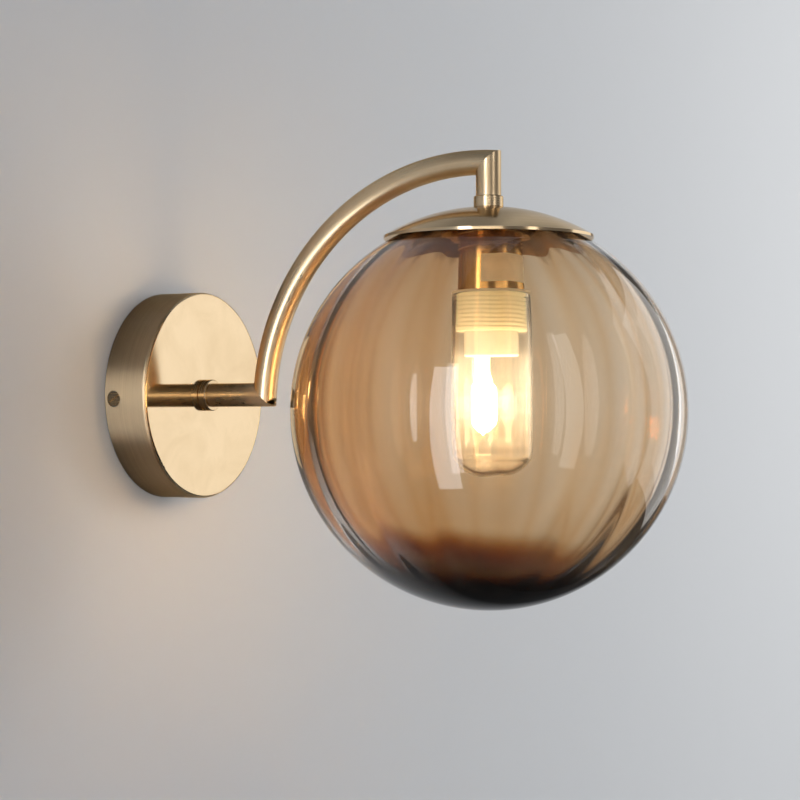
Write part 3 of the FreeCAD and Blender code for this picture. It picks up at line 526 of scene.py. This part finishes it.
class FittingsOperator(bpy.types.Operator):
    """Finish the bracket, the rods, nuts and washers, and the terminals behind the plate"""
    bl_idname = "sconce.fittings"
    bl_label = "Fittings"

    def execute(self, context):
        look = colours()
        bright = look.steel[:]
        steel = (bright, tuple(0.7 * part for part in bright), bright)
        brass = brass_tones()
        dress(brushed("bracket_steel", BELOW_WALL, AROUND_X, *steel, roughness=0.34,
                      lines=900.0), "mounting_bracket")
        dress(brushed("turned_steel", ORIGIN, AROUND_Y, *steel, roughness=0.26, lines=2400.0),
              "root_nipple", "root_lock_nut", "earth_screw", "block_screw",
              "earth_ring_terminal", "earth_tag_washer")
        dress(brushed("hanging_steel", AXIS, AROUND_Z, *steel, roughness=0.26, lines=2400.0),
              "drop_nipple", "drop_lock_nut", "drop_lock_washer", "cap_spacer", "socket_clip_ring")
        dress(brushed("root_bush_brass", ORIGIN, AROUND_Y, *brass, roughness=0.3),
              "root_bush", "terminal_inserts", "terminal_screws")
        dress(brushed("drop_bush_brass", AXIS, AROUND_Z, *brass, roughness=0.3),
              "drop_bush", "socket_contacts")
        dress(plain_finish("block_moulding", look.block[:], roughness=0.42), "terminal_block")
        return {"FINISHED"}


class WiringOperator(bpy.types.Operator):
    """Finish the wires in the colours of their cores"""
    bl_idname = "sconce.wiring"
    bl_label = "Wiring"

    def execute(self, context):
        look = colours()
        for core, tone in (("live", look.live), ("neutral", look.neutral)):
            dress(plain_finish(core + "_sleeving", tone[:], roughness=0.38, relief=0.08),
                  core + "_wire")
        material, tree, shader = new_material("earth_sleeving")
        across = sum_up(tree, "ABSOLUTE", coordinate(tree, object_point(tree), "X"))
        stripe = remap(tree, across, 0.00035, 0.00045, 1.0, 0.0)
        feed(tree, shader["Base Color"],
             blend_colour(tree, stripe, look.earth[:], look.earth_stripe[:]))
        skin = on_object(tree, moulded, 900.0)
        feed(tree, shader["Roughness"], remap(tree, skin["Height"], 0.3, 0.7, 0.33, 0.43))
        dress(material, "earth_wire")
        return {"FINISHED"}


class GlobeOperator(bpy.types.Operator):
    """Blow the fluted amber globe, with its gasket and washer"""
    bl_idname = "sconce.globe"
    bl_label = "Fluted globe"

    def execute(self, context):
        look = colours()
        material = glass("amber_glass", amber_stain, smears=0.012, clarity=0.987, held_back=0.775,
                         deepen=1.9)
        globe = surface("fluted_globe", globe_points(sizes()), "globe", material)
        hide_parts("glass_globe")
        dress(plain_finish("gasket_rubber", look.rubber[:], roughness=0.62), "globe_gasket")
        dress(plain_finish("washer_fibre", look.fibre[:], roughness=0.75, grain=1500.0, relief=0.4),
              "globe_washer")
        dress(brushed("ring_brass", AXIS, AROUND_Z, *brass_tones(), roughness=0.22),
              "globe_ring_nut")
        return {"FINISHED"}


# Depth of the amber as a power of its colour: all over, on the ribs, from the middle down, in the
# thick base and at the neck
AMBER_EVEN = 0.64
AMBER_ON_RIB = 0.30
AMBER_BELOW = 0.18
AMBER_IN_BASE = 9.0
AMBER_AT_NECK = 3.0
# Depth of the outside's smoke: all over, and for each unit of depth in base and neck
SMOKE_EVEN = 0.2
SMOKE_IN_THICK = 2.0
# The base deepens between these shares of the way from the middle to the bottom, and its edge
# lies lower on the side of the thinner amber by this share.
BASE_FROM, BASE_TO, BASE_TILT = 0.70, 1.02, 0.045
# The neck deepens between these distances below the mouth, and so much higher in the middle of a
# flute.
NECK_FROM, NECK_TO, NECK_SCALLOP = 0.018, 0.008, 0.006


def amber_stain(tree):
    """Amber on the inside of the glass only. It is thinner on one side of the globe, partly as
    uneven amber and partly as a painted sheen for the reflection of the lamps on that side, deeper
    on the ribs between the flutes, and deeper towards the base, where the glass is thick. The
    outside is faintly smoky, more so at the base and the neck."""
    look = colours()
    size = sizes()
    reach = put(tree, "ShaderNodeVectorMath", {"operation": "DISTANCE"})
    feed(tree, reach.inputs[0], object_point(tree))
    feed(tree, reach.inputs[1], GLOBE_CENTRE)
    inner = GLOBE_RADIUS - 0.5 * size.wall_at_side
    inside = remap(tree, reach.outputs["Value"], inner, inner + 0.0005, 1.0, 0.0)
    apart = put(tree, "ShaderNodeSeparateXYZ", Vector=about(tree, AXIS, AROUND_Z)).outputs
    angle = sum_up(tree, "ARCTAN2", apart["Y"], apart["X"])
    # Thinner amber towards one side: partly uneven amber, partly a painted sheen for the lamps'
    # reflection there.
    side = sum_up(tree, "COSINE", sum_up(tree, "SUBTRACT", angle, look.side_of_stain_and_sheen))
    even = sum_up(tree, "MULTIPLY_ADD", side, -look.lean_of_stain_and_sheen, AMBER_EVEN)
    crest = sum_up(tree, "ABSOLUTE", sum_up(tree, "COSINE", sum_up(
        tree, "MULTIPLY", sum_up(tree, "SUBTRACT", angle, size.flute_turn), size.flute_count / 2)))
    rib = remap(tree, crest, 0.0, 0.85, AMBER_ON_RIB, 0.0)
    fall = remap(tree, apart["Z"], GLOBE_LOW.z, GLOBE_CENTRE.z, 1.0, 0.0)
    base = remap(tree, sum_up(tree, "MULTIPLY_ADD", side, -BASE_TILT, fall), BASE_FROM, BASE_TO,
                 0.0, AMBER_IN_BASE, "SMOOTHSTEP")
    neck = remap(tree, sum_up(tree, "MULTIPLY_ADD", crest, -NECK_SCALLOP, apart["Z"]),
                 GLOBE_HIGH.z - NECK_FROM, GLOBE_HIGH.z - NECK_TO, 0.0, AMBER_AT_NECK,
                 "SMOOTHSTEP")
    thick = sum_up(tree, "ADD", base, neck)
    low = sum_up(tree, "MULTIPLY_ADD", fall, AMBER_BELOW, base)
    depth = sum_up(tree, "ADD", sum_up(tree, "ADD", even, rib), low)
    return blend_colour(
        tree, inside,
        power(tree, look.smoke[:], sum_up(tree, "MULTIPLY_ADD", thick, SMOKE_IN_THICK, SMOKE_EVEN)),
        power(tree, look.amber[:], depth))


def globe_points(size):
    """Outside: a sphere. Inside: the sphere less the wall, whose thickness goes smoothly from the
    neck over the side to the base, plus the flutes. A flute is the size of the cosine of half the
    flute count times the angle, softened at its ribs, and fades as the square of the sine of the
    polar angle. Slow waves of up to a quarter of a millimetre make the inside uneven, as blown
    glass is. A round lip joins both at the mouth."""
    around = 320
    angle = full_turn(around)[None, :]
    mouth_angle = math.pi - math.asin((size.mouth_radius + size.wall_at_neck / 2) / GLOBE_RADIUS)
    polar = np.linspace(0.0, mouth_angle, 96)[:, None]

    def ball(radius, polar_angle):
        return spin(radius * np.sin(polar_angle), GLOBE_CENTRE.z - radius * np.cos(polar_angle),
                    angle)

    low = 0.5 + 0.5 * np.cos(np.clip(polar * 1.15, 0.0, math.pi))
    high = np.clip((polar - math.pi / 2) / (mouth_angle - math.pi / 2), 0.0, 1.0)
    wall = (size.wall_at_side + (size.wall_at_base - size.wall_at_side) * low ** 2
            + (size.wall_at_neck - size.wall_at_side) * high ** 2)
    soft = 0.20
    wave = np.sqrt(np.cos(size.flute_count * (angle - size.flute_turn) / 2) ** 2 + soft ** 2)
    lobe = (wave - soft) / (math.sqrt(1 + soft ** 2) - soft)
    hand = (0.00010 * np.sin(3 * angle + 2.0 * polar) + 0.00008 * np.sin(5 * angle - 4.0 * polar)
            + 0.00006 * np.sin(2 * angle + 9.0 * polar)) * np.sin(polar)
    flute = size.flute_depth * (lobe - 0.5) * np.sin(polar) ** 2
    outer = ball(GLOBE_RADIUS + 0.0 * angle, polar)
    inner = ball(GLOBE_RADIUS - wall + flute + hand, polar)
    lip_turn = np.linspace(0.0, math.pi, 9)[1:-1, None]
    top_out = outer[-1]
    top_in = inner[-1]
    middle = (top_out + top_in) / 2
    inward = np.stack([-np.cos(angle[0]), -np.sin(angle[0]), np.zeros(around)], axis=-1)
    half = np.linalg.norm(top_out - top_in, axis=-1, keepdims=True) / 2
    lip = (middle[None] + np.cos(lip_turn)[..., None] * (top_out - top_in)[None] / 2
           + np.sin(lip_turn)[..., None] * (inward * half)[None])
    return np.concatenate([outer, lip, inner[::-1]])


class TubeOperator(bpy.types.Operator):
    """Draw the inner glass tube with its domed end, and finish its seal"""
    bl_idname = "sconce.tube"
    bl_label = "Inner tube"

    def execute(self, context):
        size = sizes()
        material = glass("clear_glass", clear_stain, smears=0.015, clarity=0.9935, ior=1.47)
        tube = surface("domed_tube", tube_points(size), "glass_tube", material)
        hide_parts("glass_tube")
        dress(plain_finish("seal_silicone", colours().silicone[:], roughness=0.5), "tube_seal")
        return {"FINISHED"}


def clear_stain(tree):
    """Nearly colourless, with a faint cloudiness."""
    marks = on_object(tree, handling, 18.0)
    clear, cloudy = (0.985, 0.985, 0.975), (0.965, 0.965, 0.945)
    return blend_colour(tree, marks["Clouds"], clear, cloudy)


def wall_line(radius, dome, corner, top, bottom):
    """Dome arc, corner arc and straight side of the tube, from its tip up. The corner arc touches
    both: its centre is a corner's radius inside the side, and dome less corner from the dome's."""
    dome_centre = (0.0, bottom + dome)
    corner_x = radius - corner
    corner_z = dome_centre[1] - math.sqrt((dome - corner) ** 2 - corner_x ** 2)
    meet = math.degrees(math.atan2(corner_z - dome_centre[1], corner_x))
    return np.concatenate([
        arc(dome_centre, dome, -90.0, meet, 30),
        arc((corner_x, corner_z), corner, meet, 0.0, 14)[1:],
        run((radius, corner_z), (radius, top), 150)[1:],
    ])


def tube_points(size):
    """The wall's outer line, a round lip, and the inner line back down, turned about the hanging
    axis. The inner line has a screw groove near the top: its radius grows by a raised cosine of the
    height over the pitch plus the angle. Slow waves of about a tenth of a millimetre make the
    straight wall uneven."""
    around = 128
    groove_depth = 0.00042
    radius = (TUBE_HIGH.x - TUBE_LOW.x) / 2
    lip = size.tube_wall / 2
    top = TUBE_HIGH.z - lip
    outside = wall_line(radius, size.tube_dome, size.tube_corner, top, TUBE_LOW.z)
    inside = wall_line(radius - size.tube_wall, size.tube_dome - size.tube_wall,
                       size.tube_corner - size.tube_wall, top, TUBE_LOW.z + size.tube_wall)
    line = np.concatenate([outside, arc((radius - lip, top), lip, 0.0, 180.0, 11)[1:-1],
                           inside[::-1]])
    angle = full_turn(around)[None, :]
    x, z = line[:, :1], line[:, 1:]
    is_inner = (np.arange(len(line)) >= len(line) - len(inside))[:, None]
    start = np.clip((z - SLEEVE_LOW.z - size.thread_pitch) / size.thread_pitch, 0.0, 1.0)
    end = np.clip((top - z) / size.thread_pitch, 0.0, 1.0)
    phase = 2 * math.pi * z / size.thread_pitch + angle
    groove = groove_depth * (0.5 + 0.5 * np.cos(phase)) ** 1.5 * start * end * is_inner
    hand = 0.00006 * np.sin(2 * angle + 90.0 * z) + 0.00005 * np.sin(3 * angle - 140.0 * z)
    hand = np.abs(hand) * np.clip(x / radius, 0.0, 1.0) ** 6 * (z > TUBE_LOW.z + size.tube_dome)
    return spin(x + np.where(is_inner, groove + hand, -hand), z, angle)


class HolderOperator(bpy.types.Operator):
    """Finish the housing and its label, cut the sleeve's thread, and glaze the socket"""
    bl_idname = "sconce.holder"
    bl_label = "Lampholder"

    def execute(self, context):
        look = colours()
        dress(brushed("housing_brass", AXIS, AROUND_Z, look.holder_brass[:], look.brass_dark[:],
                      look.brass_edge[:], roughness=0.17, lines=1100.0, relief=0.04),
              "lampholder_housing")
        pale = look.pale_brass[:]
        # The sleeve's faint emission is painted lamplight, standing in for the capsule's light
        # falling on it.
        material = brushed("sleeve_brass", AXIS, AROUND_Z, pale, tuple(0.8 * part for part in pale),
                           SLEEVE_EDGE, roughness=0.48, lines=3000.0, relief=0.05, Metallic=0.0,
                           Emission_Color=SLEEVE_PAINTED_LAMPLIGHT, Emission_Strength=0.33)
        sleeve = surface("screw_sleeve", sleeve_points(sizes()), "wall_fitting", material)
        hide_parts("thread_sleeve")
        dress(plain_finish("socket_ceramic", look.ceramic[:], roughness=0.30, grain=500.0,
                           relief=0.08, Coat_Weight=0.4, Coat_Roughness=0.12), "lamp_socket")
        dress(plain_finish("label_card", look.label[:], roughness=0.48, grain=2500.0, relief=0.10),
              "rating_label")
        return {"FINISHED"}


def sleeve_points(size):
    """Turned outline of the sleeve: bore, neck, threaded side, floor. On the side the radius grows
    by a screw thread, a raised cosine of the height over the pitch plus the angle, which fades over
    one pitch at each end."""
    around = 144
    neck_inset = 0.0014
    core, bore = size.sleeve_core, size.sleeve_core - size.sleeve_wall
    neck = (SLEEVE_HIGH.x - SLEEVE_LOW.x) / 2 - size.thread_height - neck_inset
    shoulder = SLEEVE_HIGH.z - size.sleeve_neck
    floor_top = SLEEVE_LOW.z + size.sleeve_floor
    ease = 0.0004
    line = np.concatenate([
        run((bore, floor_top), (bore, SLEEVE_HIGH.z), 12),
        run((bore + ease / 2, SLEEVE_HIGH.z), (neck - ease, SLEEVE_HIGH.z), 3),
        arc((neck - ease, SLEEVE_HIGH.z - ease), ease, 90.0, 0.0, 5)[1:],
        run((neck, SLEEVE_HIGH.z - 2 * ease), (neck, shoulder), 6),
        arc((core - ease, shoulder - ease), ease, 90.0, 0.0, 5),
        run((core, shoulder - ease), (core, SLEEVE_LOW.z + ease), 150)[1:],
        arc((core - ease, SLEEVE_LOW.z + ease), ease, 0.0, -90.0, 5)[1:],
        run((core - 2 * ease, SLEEVE_LOW.z), (size.socket_hole, SLEEVE_LOW.z), 4),
        run((size.socket_hole, SLEEVE_LOW.z), (size.socket_hole, floor_top), 3)[1:],
        run((size.socket_hole, floor_top), (bore, floor_top), 4)[1:],
    ])
    angle = full_turn(around)[None, :]
    x, z = line[:, :1], line[:, 1:]
    on_side = np.isclose(x, core)
    fade = (np.clip((shoulder - z) / size.thread_pitch, 0.0, 1.0)
            * np.clip((z - SLEEVE_LOW.z) / size.thread_pitch, 0.0, 1.0))
    phase = 2 * math.pi * z / size.thread_pitch + angle
    thread = size.thread_height * (0.5 + 0.5 * np.cos(phase)) ** 0.8 * fade * on_side
    return spin(x + thread, z, angle)


class LampOperator(bpy.types.Operator):
    """Blow the capsule lamp, wind its filament and light it"""
    bl_idname = "sconce.lamp"
    bl_label = "Capsule lamp"

    def execute(self, context):
        look = colours()
        size = sizes()
        capsule = surface("capsule_bulb", capsule_points(size), "lamp", glowing(look))
        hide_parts("lamp_capsule")
        material, tree, shader = new_material(
            "hot_filament", Base_Color=(1.0, 0.7, 0.35, 1.0), Roughness=0.5,
            Emission_Strength=60.0)
        skin = on_object(tree, moulded, 3000.0)
        yellow, orange = (1.0, 0.78, 0.46), (1.0, 0.66, 0.32)
        feed(tree, shader["Emission Color"], blend_colour(tree, skin["Tone"], yellow, orange))
        coil = surface("coiled_filament", filament_points(size), "lamp", material)
        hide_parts("lamp_filament")
        steel = look.steel[:]
        dress(brushed("pin_metal", AXIS, AROUND_Z, steel, steel, steel, roughness=0.2), "lamp_pins")
        return {"FINISHED"}


def glowing(look):
    """Hot frosted quartz: brightest around the filament, dimmer towards its tip."""
    material, tree, shader = new_material("glowing_quartz", Roughness=0.35, IOR=1.46,
                                          Emission_Strength=look.glow_strength)
    height = coordinate(tree, object_point(tree), "Z")
    lit = remap(tree, height, CAPSULE_LOW.z, CAPSULE_LOW.z + 0.016, 0.35, 1.0)
    skin = on_object(tree, moulded, 400.0)
    clean, dusty = (0.95, 0.93, 0.88), (0.88, 0.86, 0.80)
    feed(tree, shader["Base Color"], blend_colour(tree, skin["Tone"], clean, dusty))
    dim = (0.9, 0.45, 0.15)
    feed(tree, shader["Emission Color"], blend_colour(tree, lit, dim, look.glow[:]))
    return material


def capsule_points(size):
    """Stack of rings from the tip to the pinch. A ring is |x / a| ^ n + |y / b| ^ n = 1, with n = 2
    on the round bulb and growing to 8 on the flat pinch, while b shrinks from round to flat."""
    around = 96
    radius = (CAPSULE_HIGH.y - CAPSULE_LOW.y) / 2
    tip = 0.0011
    bulb_low = CAPSULE_LOW.z + tip
    bulb_high = CAPSULE_HIGH.z - size.pinch_height
    pinch_half = 0.0067
    pinch_thin = 0.0021
    shoulder_radius = 0.004
    rise_rows, pinch_rows = 14, 10
    round_power, flat_power = 2.0, 8.0
    nub = arc((0.0, CAPSULE_LOW.z + tip), tip, -90.0, -30.0, 6)
    low = arc((0.0, bulb_low + radius), radius, -82.0, 0.0, 22)
    side = run((radius, bulb_low + radius), (radius, bulb_high - radius), 16)[1:]
    shoulder = arc((radius - shoulder_radius, bulb_high - radius), shoulder_radius, 0.0, 55.0,
                   8)[1:]
    half = np.concatenate([nub, low, side, shoulder])
    rise = np.linspace(half[-1, 1], bulb_high + 0.0020, rise_rows)[1:]
    ease = (1 - np.cos(np.linspace(0.0, math.pi, rise_rows)[1:])) / 2
    pinch = np.linspace(bulb_high + 0.0025, CAPSULE_HIGH.z, pinch_rows)
    heights = np.concatenate([half[:, 1], rise, pinch])
    wide = np.concatenate([half[:, 0], half[-1, 0] + (pinch_half - half[-1, 0]) * ease,
                           np.full(pinch_rows, pinch_half)])
    thin = np.concatenate([half[:, 0], half[-1, 0] + (pinch_thin - half[-1, 0]) * ease,
                           np.full(pinch_rows, pinch_thin)])
    order = np.concatenate([np.full(len(half), round_power),
                            round_power + (flat_power - round_power) * ease,
                            np.full(pinch_rows, flat_power)])
    heights = np.concatenate([heights[:1], heights, heights[-1:]])[:, None]
    wide, thin = (np.concatenate([[0.0], row, [0.0]])[:, None] for row in (wide, thin))
    order = np.concatenate([order[:1], order, order[-1:]])[:, None]
    turn = full_turn(around)[None, :]
    x = wide * np.sign(np.cos(turn)) * np.abs(np.cos(turn)) ** (2 / order)
    y = thin * np.sign(np.sin(turn)) * np.abs(np.sin(turn)) ** (2 / order)
    return np.stack([x, AXIS.y + y, heights + 0.0 * turn], axis=-1)


def filament_points(size):
    """Wire wound as a fine helix round a U: two legs joined by a half circle below."""
    half = (FILAMENT_HIGH.x - FILAMENT_LOW.x) / 2 - size.coil_radius - size.coil_wire / 2
    bend_z = FILAMENT_LOW.z + half + size.coil_radius + size.coil_wire / 2
    top = FILAMENT_HIGH.z
    leg = top - bend_z
    whole = 2 * leg + math.pi * half
    turns = whole / size.coil_pitch
    s = np.linspace(0.0, whole, int(turns * 12))
    bend = np.clip((s - leg) / half, 0.0, math.pi)
    x = -half * np.cos(bend)
    down = np.where(s < leg, top - s, np.where(s > whole - leg, top - (whole - s), bend_z))
    z = down - half * np.sin(bend)
    tangent = np.stack([np.gradient(x), np.zeros_like(s), np.gradient(z)], axis=-1)
    tangent /= np.linalg.norm(tangent, axis=1)[:, None]
    side = np.cross(tangent, (0.0, 1.0, 0.0))
    wind = 2 * math.pi * s / size.coil_pitch
    centre = np.stack([x, AXIS.y + 0.0 * s, z], axis=-1)
    path = centre + size.coil_radius * (np.cos(wind)[:, None] * side
                                        + np.sin(wind)[:, None] * np.array((0.0, 1.0, 0.0)))
    return carried(path, size.coil_wire / 2, 6)


# Stage

CAMERA_PLACE = Vector((-0.90123, -0.65264, -0.01632))
CAMERA_HEADING = math.radians(-60.72)
CAMERA_RISE = math.radians(0.72)
LENS = 90.0
SENSOR = 36.0
# How far the wall's sheet lies behind the plate's back, so that the two don't coincide
WALL_BEHIND = 0.0003


class StageOperator(bpy.types.Operator):
    """Set up the pale wall and floor, the soft lamps and the camera"""
    bl_idname = "sconce.stage"
    bl_label = "Stage"

    def execute(self, context):
        look = colours()
        scene = context.scene
        scene.view_settings.view_transform = "Standard"
        backdrop("wall", span=(6.0, 4.0), place=(0.0, WALL_BEHIND, 0.7),
                 turn=(math.pi / 2, 0.0, 0.0), tone=look.wall[:], in_mirrors=wall_in_mirrors)
        backdrop("floor", span=(6.0, 3.0), place=(0.0, -1.5, -1.3), turn=(0.0, 0.0, 0.0),
                 tone=look.floor[:], in_mirrors=floor_in_mirrors)
        panel("right_panel", place=(1.62, -1.06, 0.15), span=(1.55, 2.1), brightness=1.04,
              tone=(0.99, 0.99, 0.97))
        panel("left_window", place=(-1.60, -0.24, -0.28), span=(0.40, 2.1), brightness=5.2,
              tone=(0.95, 0.97, 1.0), diffuse=False)
        panel("camera_side", place=(-2.0, -1.15, 0.05), span=(1.3, 0.5), brightness=1.9,
              tone=(1.0, 0.93, 0.82), diffuse=False)
        panel("front_strip", place=(-0.60, -2.40, 0.10), span=(0.42, 3.4), brightness=1.9,
              tone=(1.0, 0.97, 0.92), diffuse=False)
        panel("key", place=(1.40, -1.20, 0.30), span=(0.6, 0.6), brightness=6.6,
              tone=(1.0, 0.99, 0.96), glossy=False)
        surroundings(look)
        camera = bpy.data.objects.new("camera", bpy.data.cameras.new("camera"))
        camera.data.lens = LENS
        camera.data.sensor_width = SENSOR
        camera.data.clip_start = 0.01
        camera.location = CAMERA_PLACE
        camera.rotation_euler = Euler((math.pi / 2 + CAMERA_RISE, 0.0, CAMERA_HEADING))
        scene.collection.objects.link(camera)
        scene.camera = camera
        return {"FINISHED"}


def wall_in_mirrors(tree, path):
    """How much darker mirrors see the wall: close round the plate a painted shadow, which stands in
    for the shade it lies in there, and darker low down, and high up except on the far right."""
    reach = put(tree, "ShaderNodeVectorMath", {"operation": "LENGTH"})
    feed(tree, reach.inputs[0], object_point(tree))
    # Painted shadow: mirrors see the wall darker within 0.19 m of the plate.
    painted_shadow_near = remap(tree, reach.outputs["Value"], 0.08, 0.19, 0.74, 0.0)
    spot = put(tree, "ShaderNodeSeparateXYZ", Vector=object_point(tree)).outputs
    low = remap(tree, spot["Z"], -0.15, -0.50, 0.0, 0.94)
    high = sum_up(tree, "MULTIPLY", remap(tree, spot["Z"], 0.20, 0.45, 0.0, 0.50),
                  remap(tree, spot["X"], 0.40, 0.65, 1.0, 0.0))
    apart = sum_up(tree, "MAXIMUM", low, high)
    return sum_up(tree, "MULTIPLY", path["Is Glossy Ray"], sum_up(tree, "MAXIMUM", painted_shadow_near, apart))


def mirrored(tree, path):
    """What is seen in a mirror or through glass."""
    return sum_up(tree, "MAXIMUM", path["Is Glossy Ray"], path["Is Transmission Ray"])


def floor_in_mirrors(tree, path):
    """How much darker mirrors and glass see the floor."""
    darker = 0.96
    return sum_up(tree, "MULTIPLY", mirrored(tree, path), darker)


def backdrop(name, span, place, turn, tone, in_mirrors):
    """Flat sheet of the stage, which can't be seen from behind."""
    corners = np.array([(-0.5, -0.5, 0.0), (0.5, -0.5, 0.0), (0.5, 0.5, 0.0), (-0.5, 0.5, 0.0)])
    corners = corners * (*span, 1.0)
    spot = Matrix.Translation(place) @ Euler(turn).to_matrix().to_4x4()
    mesh = bpy.data.meshes.new(name)
    mesh.from_pydata([spot @ Vector(corner) for corner in corners], [], [(0, 1, 2, 3)])
    material, tree, shader = new_material(name + "_paint", Roughness=0.85)
    skin = on_object(tree, moulded, 260.0)
    paint = blend_colour(tree, skin["Tone"], tone, tuple(0.985 * part for part in tone))
    darker = in_mirrors(tree, put(tree, "ShaderNodeLightPath").outputs)
    feed(tree, shader["Base Color"], blend_colour(tree, darker, paint, BLACK))
    feed(tree, shader["Normal"], bump(tree, skin["Height"], 0.04, 0.0005))
    show_instead(tree, put(tree, "ShaderNodeNewGeometry").outputs["Backfacing"],
                 put(tree, "ShaderNodeBsdfTransparent").outputs[0])
    mesh.materials.append(material)
    sheet = bpy.data.objects.new(name, mesh)
    bpy.context.scene.collection.objects.link(sheet)


def panel(name, place, span, brightness, tone, glossy=True, diffuse=True):
    """Soft lamp that faces the sconce. Brightness is what a mirror would show of it. Without
    glossy it shows in no mirror or glass, and without diffuse it shows only there."""
    lamp = bpy.data.lights.new(name, "AREA")
    lamp.shape = "RECTANGLE"
    lamp.size, lamp.size_y = span
    lamp.energy = brightness * math.pi * span[0] * span[1]
    lamp.color = tone
    soft = bpy.data.objects.new(name, lamp)
    soft.location = place
    aim = Vector((0.0, AXIS.y / 2, 0.0)) - Vector(place)
    soft.rotation_euler = aim.to_track_quat("-Z", "Y").to_euler()
    soft.visible_camera = False
    soft.visible_glossy = glossy
    soft.visible_diffuse = diffuse
    soft.visible_transmission = glossy
    bpy.context.scene.collection.objects.link(soft)


# Light of the surroundings on matt surfaces
AMBIENT = (0.355, 0.372, 0.402)
# What mirrors and glass see of them: heights from straight down (0) to straight up (1), with their
# greys, which are a little bluer than plain ones
MIRRORED = ((0.10, 0.010), (0.34, 0.025), (0.47, 0.12), (0.58, 0.16), (0.78, 0.06), (1.0, 0.03))
BLUER = 1.04


def surroundings(look):
    """Pale surroundings. Mirrors and glass see them darken overhead and underfoot."""
    world = bpy.data.worlds.new("surroundings")
    bpy.context.scene.world = world
    world.use_nodes = True
    tree = world.node_tree
    tree.nodes.clear()
    path = put(tree, "ShaderNodeLightPath").outputs
    height = coordinate(tree, put(tree, "ShaderNodeTexCoord").outputs["Generated"], "Z")
    ramp = put(tree, "ShaderNodeValToRGB", Fac=remap(tree, height, -1.0, 1.0, 0.0, 1.0))
    elements = ramp.color_ramp.elements
    while len(elements) < len(MIRRORED):
        elements.new(0.5)
    for element, (place, grey) in zip(elements, MIRRORED):
        element.position = place
        element.color = (grey, grey, BLUER * grey, 1.0)
    soft = blend_colour(tree, mirrored(tree, path), AMBIENT, ramp.outputs[0])
    tone = blend_colour(tree, path["Is Camera Ray"], soft, look.sky[:])
    glow = put(tree, "ShaderNodeBackground", Color=tone, Strength=1.0)
    put(tree, "ShaderNodeOutputWorld", Surface=glow.outputs[0])


OPERATORS = (BrassOperator, FittingsOperator, WiringOperator, GlobeOperator, TubeOperator,
             HolderOperator, LampOperator, StageOperator)


class SconcePanel(bpy.types.Panel):
    """Sizes, colours and pieces of the sconce"""
    bl_idname = "VIEW3D_PT_sconce"
    bl_label = "Globe Wall Sconce"
    bl_space_type = "VIEW_3D"
    bl_region_type = "UI"
    bl_category = "Sconce"

    def draw(self, context):
        layout = self.layout
        for group in (context.scene.sconce_sizes, context.scene.sconce_colours):
            box = layout.box()
            for key in group.__annotations__:
                box.prop(group, key)
        for operator in OPERATORS:
            layout.operator(operator.bl_idname)


CLASSES = (SconceSizes, SconceColours, *OPERATORS, SconcePanel)


def register():
    for kind in CLASSES:
        bpy.utils.register_class(kind)
    bpy.types.Scene.sconce_sizes = bpy.props.PointerProperty(type=SconceSizes)
    bpy.types.Scene.sconce_colours = bpy.props.PointerProperty(type=SconceColours)


def unregister():
    del bpy.types.Scene.sconce_colours
    del bpy.types.Scene.sconce_sizes
    for kind in reversed(CLASSES):
        bpy.utils.unregister_class(kind)


def main():
    register()
    for operator in OPERATORS:
        group, action = operator.bl_idname.split(".")
        getattr(getattr(bpy.ops, group), action)()


if __name__ == "__main__":
    main()
